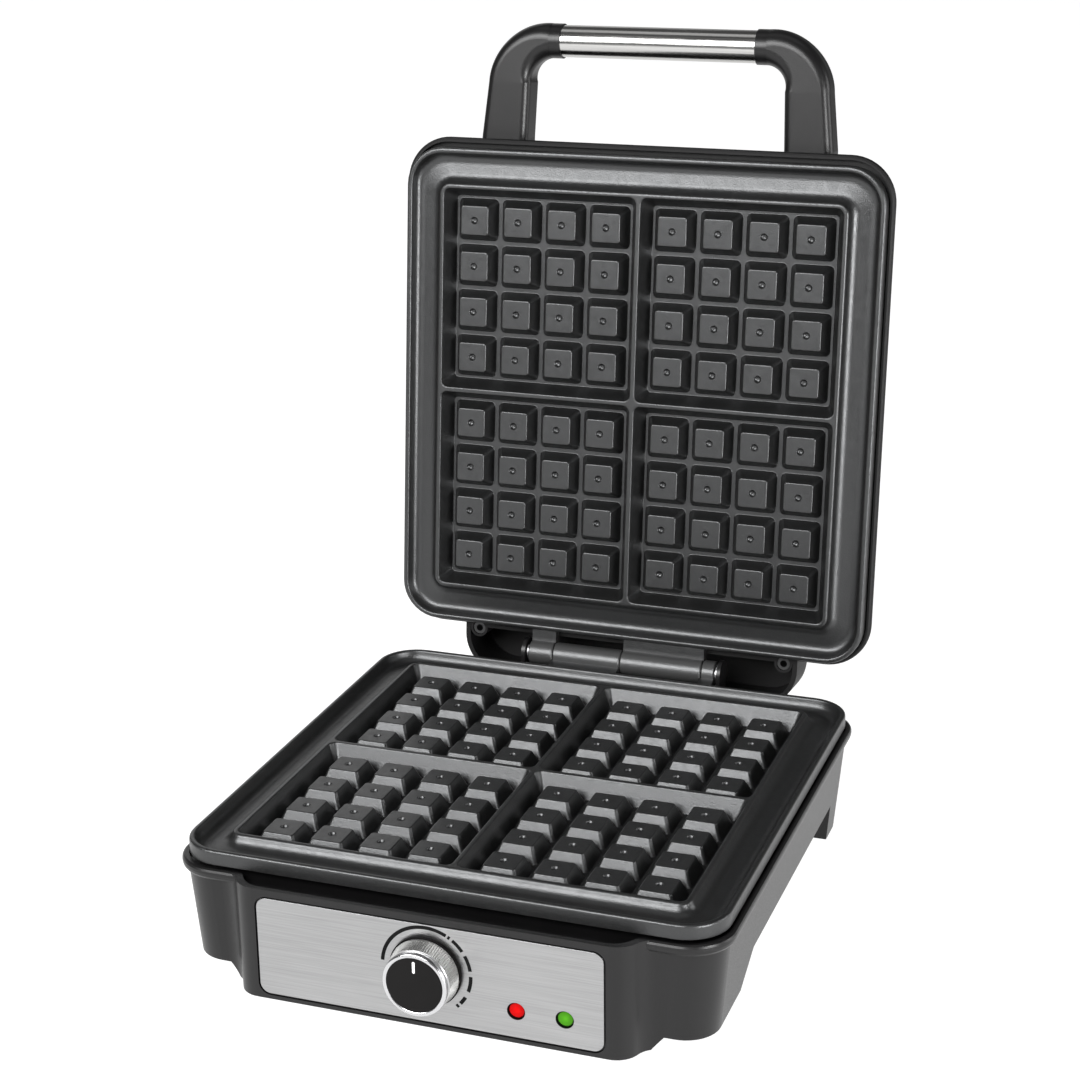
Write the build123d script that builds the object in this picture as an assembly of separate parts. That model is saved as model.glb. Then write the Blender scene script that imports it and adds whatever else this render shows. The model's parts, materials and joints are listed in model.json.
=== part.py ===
from build123d import *
import math
import os

# A four-slice waffle maker, lid open. Millimetres, +Z up, +Y to the back.
# Pieces of the base are modelled with Z = 0 at the lower plate's block tops, on the plate's centre line.
# Pieces of the lid are modelled the same way, face up, then turned over onto the hinge and opened.

# Waffle plates: one casting serves as the lower and the upper plate
BLOCK_PITCH = 24.0
BLOCK_ROWS = 4
BLOCK_FOOT = 21.6
BLOCK_TOP = 14.9
BLOCK_HEIGHT = 7.5
DIVIDER_PITCH = 35.3
DIVIDER_TOP = 2.2
DIMPLE_D = 4.0
DIMPLE_FLOOR_D = 1.6
DIMPLE_DEPTH = 1.4
POCKET_MARGIN = 11.9
POCKET_FLOOR_CORNER = 2.0
POCKET_MOUTH_CORNER = 3.6
RIDGE_RISE = 2.5
RIDGE_WIDTH = 2.0
RIDGE_RUN = 4.0
RIDGE_CORNER = 9.5
GUTTER_DEPTH = 5.5
GUTTER_WIDTH = 9.2
GUTTER_ROUND = 6.5
BEAD_RUN = 2.3
BEAD_WIDTH = 3.2
BEAD_ROUND = 1.2
PLATE_CORNER = 20.0
SKIRT_HEIGHT = 7.0
PLATE_WALL = 3.0
PAN_DRAFT = 2.2

# Hinge: knuckles cast on the plates, edges of the four barrels along X from the left
KNUCKLE_EDGES = (-51.7, -38.0, -0.4, 44.2, 51.7)
KNUCKLE_R = 6.5
KNUCKLE_GAP = 0.4
HINGE_REACH = 12.2
HINGE_RAISE = 0.7
PLATE_GAP = 0.6
OPEN_ANGLE = 96.2
PIN_R = 3.0
PIN_CLEARANCE = 0.05
PIN_TAIL = 1.1
CLIP_R = 5.2
CLIP_T = 0.6
CLIP_GROOVE = 0.5
CLIP_CLEARANCE = 0.1

# Housings: wall, rim and deck are alike on the base and the lid
WALL = 2.5
WALL_CORNER = 18.0
LIP_OVERHANG = 2.9
LIP_HEIGHT = 6.2
# The lip's rounded section, as shares of its overhang and height from the wall up to the rim
LIP_SECTION = ((0.0, 0.0), (0.6, 0.16), (0.9, 0.36), (1.0, 0.58), (0.97, 0.78), (0.82, 0.92), (0.5, 1.0))
RIM_GAP = 1.0
RIM_INSET = 0.4
DECK_DROP = 3.0
DECK_T = 2.5
DECK_CLEARANCE = 1.2

# Base housing
RIM_TO_FLOOR = 54.0
COLUMN_LIFT = 6.0
SIDE_LEAN = 3.8
FRONT_LEAN = 2.2
ARCH_HEIGHT = 18.7
ARCH_FRONT = -58.6
ARCH_RAMP = 19.0
LEG_LENGTH = 31.0
LEG_WIDTH = 18.0
BULGE_REACH = 12.6
BULGE_HALF = 82.5
BULGE_FLANK = 21.0
FLANK_RISE_FROM = 0.7
FLANK_RISE_TO = 0.95
BULGE_FLOOR = 2.5
WINDOW_HALF = 40.0
WINDOW_HEIGHT = 34.0
SHELF_HALF = 88.0
SHELF_DEPTH = 13.0
SHELF_BRACE = 14.0
STOP_GAP = 0.4
CHEEK_T = 2.0
CHEEK_R = 7.5
CHEEK_GAP = 0.2
POST_R = 4.5
POST_INSET = 6.5
POST_Y = 75.0
POST_OVERLAP = 0.3
COVER_T = 2.0
COVER_RAISE = 1.0
COVER_CLEARANCE = 0.4
FOOT_R = 6.0
FOOT_T = 3.0
FOOT_DROP = 1.5
FOOT_CLEARANCE = 0.1
INLET_X = 104.0
INLET_HEIGHT = 30.0
INLET_R = 4.0
INLET_BUSH_R = 6.5
INLET_FLANGE_R = 8.5
INLET_FLANGE_T = 1.6
INLET_TAIL = 4.0
INLET_CLEARANCE = 0.1

# Front panel, lamps and control
PANEL_WIDTH = 161.2
PANEL_HEIGHT = 47.4
PANEL_T = 1.2
PANEL_CORNER = 5.0
PANEL_EDGE = 0.4
PANEL_GAP = 0.7
PANEL_DROP = 4.0
KNOB_DROP = 21.9
KNOB_R = 15.0
KNOB_FACE_R = 14.4
KNOB_LENGTH = 13.6
KNOB_SKIRT_R = 15.5
KNOB_SKIRT_T = 1.6
KNOB_GAP = 0.6
KNOB_RIM = 1.5
KNOB_FACE_T = 1.6
KNOB_FIT = 0.05
POINTER_LENGTH = 5.0
POINTER_WIDTH = 1.5
POINTER_T = 0.8
SHAFT_R = 3.0
SHAFT_CLEARANCE = 0.05
SHAFT_GRIP = 8.0
SHAFT_HOLE_R = 4.5
THERMOSTAT_SIZE = (32.0, 9.0, 24.0)
THERMOSTAT_ROUND = 2.0
BRACKET_SIZE = (50.0, 1.5, 18.0)
BRACKET_SCREW_X = 20.5
LAMP_RED_X = 41.0
LAMP_GREEN_X = 63.0
LAMP_DROP = 34.5
LAMP_R = 4.0
LAMP_CLEARANCE = 0.15
LAMP_FLANGE_R = 5.3
LAMP_FLANGE_T = 1.2
LAMP_SINK = 1.1
LAMP_CROWN = 0.6
LAMP_TAIL_GAP = 0.8
NEON_R = 2.6
NEON_TAIL = 0.6

# Heating and wiring
ELEMENT_R = 3.25
ELEMENT_HALF = 76.0
ELEMENT_BEND = 14.0
ELEMENT_TAIL = 26.0
ELEMENT_TAIL_X = 16.0
TERMINAL_R = 1.8
TERMINAL_LENGTH = 9.0
ELEMENT_GAP = 0.1
CLAMP_WIDTH = 10.0
CLAMP_T = 1.2
CLAMP_FLANGE = 9.0
SHIELD_T = 0.8
SHIELD_MARGIN = 2.0
SHIELD_DEPTH = 10.0
SHIELD_LEAN = 4.0
BOSS_R = 4.0
BOSS_Y = 62.0
FUSE_R = 2.6
FUSE_LENGTH = 14.0
FUSE_Y = 60.0
FUSE_STRAP_T = 0.8
FUSE_STRAP_WIDTH = 6.0
FUSE_STRAP_FOOT = 6.0
BLOCK_SIZE = (36.0, 16.0, 12.0)
BLOCK_WAYS = 3
BLOCK_X = 60.0
BLOCK_Y = 78.0

# Screws
SCREW_R = 1.9
SCREW_HEAD_R = 3.4
SCREW_HEAD_T = 2.0
SCREW_BITE = 6.0
SCREW_FIT = 0.1

# Lid housing
LID_WALL_HEIGHT = 24.5
LID_WALL_LEAN = 4.2
LID_DOME_HEIGHT = 10.0
LID_DOME_RUN = 11.0
LID_ROUND = 7.0
LID_CORNER = 20.5
LID_FRONT = 2.0
COVER_HALF = 92.5
COVER_REACH = 29.2
COVER_CORNER = 21.0
COVER_HEIGHT = 30.0
COVER_ROUND = 8.0
EAR_X = 85.0
EAR_OFFSET = 4.9
EAR_R = 4.8
EAR_RECESS_R = 3.6
EAR_RECESS = 3.0

# Handle
ARM_STUB = 6.0
ARM_WIDTH = 25.4
ARM_NECK = 23.2
ARM_SPLAY = 2.1
ARM_DEPTH = 18.5
ARM_CORNER = 4.5
ARM_TOP_D = 17.8
ARM_RISE = 55.0
ARM_BEND = 21.5
ARM_SEAT = 9.0
ARM_FIT = 0.2
ARM_SETBACK = 26.8
TUBE_R = 8.2
TUBE_WALL = 0.9
TUBE_HALF = 51.7
TUBE_PLUG = 9.0
TUBE_FIT = 0.1
ROD_R = 3.0
ROD_SEAT = 14.0
ROD_FIT = 0.1

# Places worked out from the sizes above; every half is measured from the plate's centre
OVER = 1.0
POCKET_CENTRE = ((BLOCK_ROWS - 1) * BLOCK_PITCH + DIVIDER_PITCH) / 2
POCKET_FLOOR_HALF = (BLOCK_ROWS - 1) * BLOCK_PITCH / 2 + POCKET_MARGIN
POCKET_MOUTH_HALF = POCKET_CENTRE - DIVIDER_TOP / 2
RIDGE_HALF = POCKET_CENTRE + POCKET_MOUTH_HALF + RIDGE_WIDTH
GUTTER_INNER = RIDGE_HALF + RIDGE_RUN
GUTTER_OUTER = GUTTER_INNER + GUTTER_WIDTH
BEAD_INNER = GUTTER_OUTER + BEAD_RUN
PLATE_HALF = BEAD_INNER + BEAD_WIDTH
GUTTER_Z = RIDGE_RISE - GUTTER_DEPTH
SKIRT_Z = RIDGE_RISE - SKIRT_HEIGHT
PAN_Z = -BLOCK_HEIGHT - PLATE_WALL
HINGE_Y = PLATE_HALF + HINGE_REACH
MEETING_Z = RIDGE_RISE + PLATE_GAP / 2
HINGE_Z = MEETING_Z + HINGE_RAISE
LID_HINGE_Z = MEETING_Z - HINGE_RAISE

RIM_Z = SKIRT_Z - RIM_GAP
DECK_Z = RIM_Z - DECK_DROP
DECK_LOW = DECK_Z - DECK_T
LIP_Z = RIM_Z - LIP_HEIGHT
WALL_HALF = PLATE_HALF
LIP_HALF = WALL_HALF + LIP_OVERHANG
RIM_HALF = PLATE_HALF + RIM_INSET
DECK_HALF = GUTTER_INNER + DECK_CLEARANCE

FLOOR_Z = RIM_Z - RIM_TO_FLOOR
COLUMN_Z = FLOOR_Z + COLUMN_LIFT
ARCH_Z = FLOOR_Z + ARCH_HEIGHT
COVER_Z = ARCH_Z + COVER_RAISE + COVER_T
BULGE_Y = -WALL_HALF - BULGE_REACH
PANEL_Z = RIM_Z - PANEL_DROP - PANEL_HEIGHT / 2
PANEL_BACK = BULGE_Y + PANEL_T
BULGE_BACK = PANEL_BACK + WALL
KNOB_Z = PANEL_Z + PANEL_HEIGHT / 2 - KNOB_DROP
LAMP_Z = PANEL_Z + PANEL_HEIGHT / 2 - LAMP_DROP
ELEMENT_Z = PAN_Z - ELEMENT_GAP - ELEMENT_R
SHIELD_HALF = GUTTER_INNER - PAN_DRAFT - SHIELD_MARGIN

LID_TOP = LIP_Z - LID_WALL_HEIGHT - LID_DOME_HEIGHT
ARM_Z = -ARM_SETBACK
ARM_ROOT_Y = -(WALL_HALF - ARM_SEAT)
TUBE_Y = -(PLATE_HALF + ARM_RISE)
ARM_X = TUBE_HALF + ARM_STUB + ARM_BEND


def turned(outline_half, outline_corner, z_low, half_high, z_high, over=0.0, front=0.0):
    """A tapered block on a rounded square, taken past its upper outline by over and longer by front."""
    lean = math.atan2(outline_half - half_high, z_high - z_low)
    outline = RectangleRounded(2 * outline_half, 2 * outline_half + front, outline_corner)
    return extrude(Pos(0, -front / 2, z_low) * outline, z_high - z_low + over, taper=math.degrees(lean))


def along_y(radius, x, z, y_front, y_back):
    """A rod parallel to Y between two depths."""
    return Pos(x, (y_front + y_back) / 2, z) * Rot(-90, 0, 0) * Cylinder(radius, y_back - y_front)


def cone_y(front_radius, back_radius, x, z, y_front, y_back):
    """A cone parallel to Y between two depths."""
    middle = Pos(x, (y_front + y_back) / 2, z)
    return middle * Rot(-90, 0, 0) * Cone(front_radius, back_radius, y_back - y_front)


def along_x(radius, x_left, x_right, y, z):
    """A rod parallel to X."""
    return Pos((x_left + x_right) / 2, y, z) * Rot(0, 90, 0) * Cylinder(radius, x_right - x_left)


def upright(radius, x, y, z_low, z_high):
    """A rod parallel to Z."""
    return Pos(x, y, (z_low + z_high) / 2) * Cylinder(radius, z_high - z_low)


def block(x_low, x_high, y_low, y_high, z_low, z_high):
    """A square-edged block between two corners."""
    centre = Pos((x_low + x_high) / 2, (y_low + y_high) / 2, (z_low + z_high) / 2)
    return centre * Box(x_high - x_low, y_high - y_low, z_high - z_low)


def side_profile(points, x_left, x_right):
    """A closed outline of (y, z) points, extruded along X."""
    outline = make_face(Polyline([(x_left, y, z) for y, z in points], close=True))
    return extrude(outline, x_right - x_left, dir=(1, 0, 0))


def screw(x, y, z_head, z_tip):
    """A pan-head screw along Z whose head seats at z_head, with its tip at z_tip."""
    away = 1 if z_head > z_tip else -1
    head_end = z_head + away * SCREW_HEAD_T
    shank = upright(SCREW_R, x, y, min(z_head, z_tip), max(z_head, z_tip))
    return shank + upright(SCREW_HEAD_R, x, y, min(z_head, head_end), max(z_head, head_end))


def corners(x, y):
    """The four places of a rectangle about the centre."""
    return [(sx * x, sy * y) for sx in (-1, 1) for sy in (-1, 1)]


# Waffle plates
def plate_casting():
    """Rim, gutter, ridge and the four pockets with their blocks."""
    plate = turned(PLATE_HALF, PLATE_CORNER, SKIRT_Z, PLATE_HALF, RIDGE_RISE)
    plate = fillet(plate.edges().group_by(Axis.Z)[-1], BEAD_ROUND)
    gutter_corner = PLATE_CORNER - BEAD_WIDTH - BEAD_RUN
    gutter = turned(GUTTER_OUTER, gutter_corner, GUTTER_Z, BEAD_INNER, RIDGE_RISE, OVER)
    gutter -= turned(GUTTER_INNER, RIDGE_CORNER, GUTTER_Z, RIDGE_HALF, RIDGE_RISE, OVER)
    plate -= fillet(gutter.edges().group_by(Axis.Z)[0], GUTTER_ROUND)
    plate += turned(GUTTER_INNER - PAN_DRAFT, RIDGE_CORNER - PAN_DRAFT, PAN_Z, GUTTER_INNER, SKIRT_Z, OVER)
    pocket = loft([pocket_outline(-BLOCK_HEIGHT), pocket_outline(RIDGE_RISE + OVER)], ruled=True)
    lean = math.degrees(math.atan2((BLOCK_FOOT - BLOCK_TOP) / 2, BLOCK_HEIGHT))
    cell = Pos(0, 0, -BLOCK_HEIGHT) * extrude(Rectangle(BLOCK_FOOT, BLOCK_FOOT), BLOCK_HEIGHT, taper=lean)
    dimple = Pos(0, 0, -DIMPLE_DEPTH / 2) * Cone(DIMPLE_FLOOR_D / 2, DIMPLE_D / 2, DIMPLE_DEPTH)
    grid = GridLocations(BLOCK_PITCH, BLOCK_PITCH, BLOCK_ROWS, BLOCK_ROWS)
    pocket -= [place * (cell - dimple) for place in grid]
    plate -= [Pos(x, y, 0) * pocket for x, y in corners(POCKET_CENTRE, POCKET_CENTRE)]
    plate += [upright(BOSS_R, x, y, DECK_Z, SKIRT_Z + OVER) for x, y in plate_screw_places()]
    holes = [upright(SCREW_R + SCREW_FIT, x, y, DECK_Z - OVER, plate_screw_tip() + SCREW_FIT)
             for x, y in plate_screw_places()]
    return plate - holes


def pocket_outline(z):
    """Outline of a pocket at a height between its floor and its mouth, or just past it."""
    share = (z + BLOCK_HEIGHT) / (RIDGE_RISE + BLOCK_HEIGHT)
    half = POCKET_FLOOR_HALF + (POCKET_MOUTH_HALF - POCKET_FLOOR_HALF) * share
    corner = POCKET_FLOOR_CORNER + (POCKET_MOUTH_CORNER - POCKET_FLOOR_CORNER) * share
    return Pos(0, 0, z) * RectangleRounded(2 * half, 2 * half, corner)


def plate_screw_places():
    """Bosses under the gutter, beside the pan."""
    return corners(DECK_HALF + DECK_CLEARANCE + BOSS_R, BOSS_Y)


def plate_screw_tip():
    """A plate screw ends inside its boss, short of the gutter."""
    return SKIRT_Z - SCREW_FIT


def knuckles(first, sign, axis_z):
    """Every second barrel of the hinge, with its web to the plate; sign turns X over for the lid."""
    parts = []
    for left, right in list(zip(KNUCKLE_EDGES, KNUCKLE_EDGES[1:]))[first::2]:
        x_left = min(sign * left, sign * right) + KNUCKLE_GAP / 2
        x_right = max(sign * left, sign * right) - KNUCKLE_GAP / 2
        barrel = along_x(KNUCKLE_R, x_left, x_right, HINGE_Y, axis_z)
        root = PLATE_HALF - BEAD_WIDTH / 2
        web = [(root, SKIRT_Z), (root, RIDGE_RISE - BEAD_ROUND), (HINGE_Y, axis_z),
               (HINGE_Y, axis_z - KNUCKLE_R)]
        bore = along_x(PIN_R + PIN_CLEARANCE, x_left - OVER, x_right + OVER, HINGE_Y, axis_z)
        parts.append(barrel + side_profile(web, x_left, x_right) - bore)
    return parts


# Heating, the same under both plates
def element_path():
    """Centre line of the tube heater: a square loop whose ends turn to the hinge side."""
    tail_y = ELEMENT_HALF + ELEMENT_TAIL
    points = [(-ELEMENT_TAIL_X, tail_y), (-ELEMENT_TAIL_X, ELEMENT_HALF), (-ELEMENT_HALF, ELEMENT_HALF),
              (-ELEMENT_HALF, -ELEMENT_HALF), (ELEMENT_HALF, -ELEMENT_HALF), (ELEMENT_HALF, ELEMENT_HALF),
              (ELEMENT_TAIL_X, ELEMENT_HALF), (ELEMENT_TAIL_X, tail_y)]
    return FilletPolyline([(x, y, ELEMENT_Z) for x, y in points], radius=ELEMENT_BEND)


def heating_element():
    path = element_path()
    tube = sweep(Plane(path @ 0, z_dir=path % 0) * Circle(ELEMENT_R), path=path)
    tail_y = ELEMENT_HALF + ELEMENT_TAIL
    pins = [along_y(TERMINAL_R, x, ELEMENT_Z, tail_y, tail_y + TERMINAL_LENGTH)
            for x in (-ELEMENT_TAIL_X, ELEMENT_TAIL_X)]
    return tube + pins


def element_clamps():
    """Hat-shaped straps that hold the heater up against the plate."""
    reach = ELEMENT_R + ELEMENT_GAP + CLAMP_T
    low = ELEMENT_Z - reach
    strap = block(-reach, reach, -CLAMP_WIDTH / 2, CLAMP_WIDTH / 2, low, PAN_Z)
    strap += block(-reach - CLAMP_FLANGE, reach + CLAMP_FLANGE, -CLAMP_WIDTH / 2, CLAMP_WIDTH / 2,
                   PAN_Z - CLAMP_T, PAN_Z)
    inner = ELEMENT_R + ELEMENT_GAP
    strap -= block(-inner, inner, -CLAMP_WIDTH, CLAMP_WIDTH, ELEMENT_Z - inner, PAN_Z + OVER)
    straps = [Pos(x, 0, 0) * strap for x in (-ELEMENT_HALF, ELEMENT_HALF)]
    straps += [Pos(0, -ELEMENT_HALF, 0) * Rot(0, 0, 90) * strap]
    return Compound(children=straps)


def heat_shield():
    """Thin reflector tray whose rim seats under the pan."""
    low = PAN_Z - SHIELD_DEPTH
    outer = turned(SHIELD_HALF - SHIELD_LEAN, RIDGE_CORNER, low, SHIELD_HALF, PAN_Z)
    inner = turned(SHIELD_HALF - SHIELD_LEAN - SHIELD_T, RIDGE_CORNER - SHIELD_T, low + SHIELD_T,
                   SHIELD_HALF - SHIELD_T, PAN_Z, OVER)
    slot_half = ELEMENT_R + ELEMENT_GAP + SHIELD_T
    slots = [block(x - slot_half, x + slot_half, SHIELD_HALF - 3 * SHIELD_LEAN, SHIELD_HALF + OVER,
                   ELEMENT_Z - slot_half, PAN_Z + OVER) for x in (-ELEMENT_TAIL_X, ELEMENT_TAIL_X)]
    return outer - inner - slots


# Housings
def rim_solid(corner, front=0.0):
    """The overhanging rounded lip round the top of either housing, from wall to rim."""
    bands = []
    for (out_low, up_low), (out_high, up_high) in zip(LIP_SECTION, LIP_SECTION[1:]):
        step = out_low * LIP_OVERHANG
        bands.append(turned(WALL_HALF + step, corner + step, LIP_Z + up_low * LIP_HEIGHT,
                            WALL_HALF + out_high * LIP_OVERHANG, LIP_Z + up_high * LIP_HEIGHT, front=front))
    return bands[0] + bands[1:]


def deck_recess(front=0.0):
    """Space above the deck, inside the rim, and the way through it for the plate's pan."""
    recess = turned(RIM_HALF, PLATE_CORNER + RIM_INSET, DECK_Z, RIM_HALF, RIM_Z, OVER, front)
    return recess + turned(DECK_HALF, RIDGE_CORNER, DECK_LOW - OVER, DECK_HALF, DECK_Z, OVER)


def base_outline(z, inset):
    """The base wall's outline at a height: it leans in towards the floor, less at the front."""
    down = (LIP_Z - z) / (LIP_Z - COLUMN_Z)
    side = WALL_HALF - SIDE_LEAN * down - inset
    front = WALL_HALF - FRONT_LEAN * down - inset
    rounded = RectangleRounded(2 * side, side + front, WALL_CORNER - SIDE_LEAN * down / 2 - inset)
    return Pos(0, (side - front) / 2, z) * rounded


def base_shell(z_low, z_high, inset=0.0):
    return loft([base_outline(z_low, inset), base_outline(z_high, inset)], ruled=True)


def bulge_outline(z, inset):
    """Front bulge at a height: a flat front between two S-shaped flanks that run into the wall."""
    down = (LIP_Z - z) / (LIP_Z - COLUMN_Z)
    wall = -(WALL_HALF - FRONT_LEAN * down) + inset
    front = BULGE_Y + inset
    flat = BULGE_HALF - inset
    end = flat + BULGE_FLANK
    back = wall + 2 * WALL
    middle = ((flat + end) / 2, (front + wall) / 2)
    right = [TangentArc((flat, front, z), (*middle, z), tangent=(1, 0, 0)),
             TangentArc((end, wall, z), (*middle, z), tangent=(-1, 0, 0))]
    left = [mirror(arc, about=Plane.YZ) for arc in right]
    rest = [Line((-flat, front, z), (flat, front, z)), Line((end, wall, z), (end, back, z)),
            Line((end, back, z), (-end, back, z)), Line((-end, back, z), (-end, wall, z))]
    return make_face(Wire([edge for part in right + left + rest for edge in part.edges()]))


def bulge_solid(z_low, z_high, inset=0.0):
    return loft([bulge_outline(z_low, inset), bulge_outline(z_high, inset)], ruled=True)


def bulge_undercut():
    """Cut under each flank, so that its lower edge climbs from the floor to the column beside it."""
    start = BULGE_HALF + FLANK_RISE_FROM * BULGE_FLANK
    top = BULGE_HALF + FLANK_RISE_TO * BULGE_FLANK
    end = BULGE_HALF + BULGE_FLANK + OVER
    wedge = [(start, FLOOR_Z), (top, COLUMN_Z), (end, COLUMN_Z), (end, FLOOR_Z - OVER),
             (start, FLOOR_Z - OVER)]
    outline = make_face(Polyline([(x, BULGE_Y - OVER, z) for x, z in wedge], close=True))
    cut = extrude(outline, BULGE_REACH + LIP_HALF / 2, dir=(0, 1, 0))
    return [cut, mirror(cut, about=Plane.YZ)]


def wall_rear(z):
    """Middle of the base's rear wall at a height."""
    return WALL_HALF - SIDE_LEAN * (LIP_Z - z) / (LIP_Z - COLUMN_Z) - WALL / 2


def shelf_rear():
    """The lid's hinge cover swings down to this face, which stops it at its open angle."""
    turn = math.radians(OPEN_ANGLE)
    reach_y = WALL_HALF + COVER_REACH - HINGE_Y
    reach_z = LID_HINGE_Z - RIM_Z
    return HINGE_Y + reach_y * math.cos(turn) + reach_z * math.sin(turn) - STOP_GAP


def post_places():
    """Screw posts for the bottom cover, beside the base's side walls."""
    return corners(WALL_HALF - SIDE_LEAN - POST_INSET, POST_Y)


def foot_places():
    """Rubber feet: two under the front bulge, two under the rear legs."""
    side = WALL_HALF - SIDE_LEAN - LEG_WIDTH / 2
    front = BULGE_Y + WALL + FOOT_R
    rear = WALL_HALF - SIDE_LEAN - LEG_LENGTH / 2
    return [(-BULGE_HALF + FOOT_R, front), (BULGE_HALF - FOOT_R, front), (-side, rear), (side, rear)]


def base_housing():
    body = base_shell(COLUMN_Z, LIP_Z) + rim_solid(WALL_CORNER) + bulge_solid(FLOOR_Z, RIM_Z)
    body -= bulge_undercut()
    body -= deck_recess()
    body -= bulge_solid(DECK_Z, RIM_Z + OVER, WALL)
    body -= base_shell(COLUMN_Z - OVER, DECK_LOW, WALL)
    body -= block(-BULGE_HALF, BULGE_HALF, BULGE_BACK, -WALL_HALF + WALL / 2, FLOOR_Z + BULGE_FLOOR, DECK_LOW)
    body -= block(-WINDOW_HALF, WINDOW_HALF, -WALL_HALF, -WALL_HALF + 3 * WALL,
                  DECK_LOW - WINDOW_HEIGHT, DECK_LOW)
    leg_front = WALL_HALF - SIDE_LEAN - LEG_LENGTH
    arch = [(ARCH_FRONT - ARCH_RAMP, COLUMN_Z - OVER), (ARCH_FRONT, ARCH_Z), (LIP_HALF + OVER, ARCH_Z),
            (LIP_HALF + OVER, COLUMN_Z - OVER)]
    body -= side_profile(arch, -LIP_HALF, LIP_HALF)
    leg_side = WALL_HALF - SIDE_LEAN - LEG_WIDTH
    legs = base_shell(FLOOR_Z, COVER_Z - COVER_T)
    body += [legs & block(x_low, x_low + LEG_WIDTH + 2 * SIDE_LEAN, leg_front, LIP_HALF,
                          FLOOR_Z, COVER_Z - COVER_T)
             for x_low in (leg_side, -leg_side - LEG_WIDTH - 2 * SIDE_LEAN)]
    body += [upright(POST_R, x, y, COVER_Z, DECK_LOW + POST_OVERLAP) for x, y in post_places()]
    body += hinge_shelf()
    body -= [upright(SCREW_R + SCREW_FIT, x, y, COVER_Z - OVER, COVER_Z + SCREW_BITE + SCREW_FIT)
             for x, y in post_places()]
    body -= [upright(SCREW_R + SCREW_FIT, x, y, DECK_LOW - OVER, DECK_Z + OVER)
             for x, y in plate_screw_places()]
    body -= [upright(FOOT_R + FOOT_CLEARANCE, x, y, FLOOR_Z - OVER, FLOOR_Z + FOOT_T - FOOT_DROP)
             for x, y in foot_places()]
    body -= panel_blank(PANEL_GAP, BULGE_Y - OVER, PANEL_BACK)
    body -= along_y(SHAFT_HOLE_R, 0, KNOB_Z, PANEL_BACK - OVER, BULGE_BACK + OVER)
    body -= [along_y(LAMP_R + LAMP_CLEARANCE, x, LAMP_Z, PANEL_BACK - OVER, BULGE_BACK + OVER)
             for x in (LAMP_RED_X, LAMP_GREEN_X)]
    body -= [along_y(SCREW_R + SCREW_FIT, x, KNOB_Z, BULGE_BACK - WALL / 2, BULGE_BACK + OVER)
             for x in (-BRACKET_SCREW_X, BRACKET_SCREW_X)]
    inlet_z = FLOOR_Z + INLET_HEIGHT
    body -= along_y(INLET_BUSH_R + INLET_CLEARANCE, INLET_X, inlet_z, wall_rear(inlet_z) - 2 * WALL, LIP_HALF)
    return body


def hinge_shelf():
    """Ledge behind the base under the hinge, braced to the rear wall, with two cheeks beside the barrels."""
    low = DECK_Z - SHELF_DEPTH
    foot = low - SHELF_BRACE
    outline = [(wall_rear(DECK_Z), DECK_Z), (shelf_rear(), DECK_Z), (shelf_rear(), low),
               (wall_rear(foot), foot)]
    shelf = side_profile(outline, -SHELF_HALF, SHELF_HALF)
    inner = cheek_inner()
    for x in (-inner - CHEEK_T, inner):
        cheek = along_x(CHEEK_R, x, x + CHEEK_T, HINGE_Y, HINGE_Z)
        cheek += block(x, x + CHEEK_T, HINGE_Y - CHEEK_R, shelf_rear(), DECK_Z - OVER, HINGE_Z)
        shelf += cheek
    return shelf


def cheek_inner():
    """Inner face of a cheek, just past the end of the pin."""
    return KNUCKLE_EDGES[-1] + PIN_TAIL + CHEEK_GAP


def bottom_cover():
    plate = extrude(base_outline(COVER_Z - COVER_T, WALL + COVER_CLEARANCE), COVER_T)
    return plate - [upright(SCREW_R + SCREW_FIT, x, y, COVER_Z - 2 * COVER_T, COVER_Z + OVER)
                    for x, y in post_places()]


def rubber_feet():
    pads = [upright(FOOT_R, x, y, FLOOR_Z - FOOT_DROP, FLOOR_Z + FOOT_T - FOOT_DROP)
            for x, y in foot_places()]
    return [chamfer(pad.edges().group_by(Axis.Z)[0], FOOT_DROP / 2) for pad in pads]


def inlet_bush():
    """Bush for the mains lead in the rear wall, with its flange outside."""
    z = FLOOR_Z + INLET_HEIGHT
    face = wall_rear(z + INLET_FLANGE_R) + WALL / 2 + INLET_CLEARANCE
    bush = along_y(INLET_BUSH_R, INLET_X, z, face - WALL - INLET_TAIL, face)
    bush += cone_y(INLET_FLANGE_R, INLET_BUSH_R, INLET_X, z, face, face + INLET_FLANGE_T)
    return bush - along_y(INLET_R, INLET_X, z, face - 2 * WALL - INLET_TAIL, face + INLET_FLANGE_T + OVER)


# Front panel, lamps and control
def panel_blank(grow, y_front, y_back):
    outline = RectangleRounded(PANEL_WIDTH + 2 * grow, PANEL_HEIGHT + 2 * grow, PANEL_CORNER + grow)
    return Pos(0, y_back, PANEL_Z) * Rot(90, 0, 0) * extrude(outline, y_back - y_front)


def front_panel():
    panel = panel_blank(0, BULGE_Y, PANEL_BACK)
    panel = fillet(panel.edges().group_by(Axis.Y)[0], PANEL_EDGE)
    panel -= along_y(SHAFT_HOLE_R, 0, KNOB_Z, BULGE_Y - OVER, PANEL_BACK + OVER)
    return panel - [along_y(LAMP_R + LAMP_CLEARANCE, x, LAMP_Z, BULGE_Y - OVER, PANEL_BACK + OVER)
                    for x in (LAMP_RED_X, LAMP_GREEN_X)]


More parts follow.
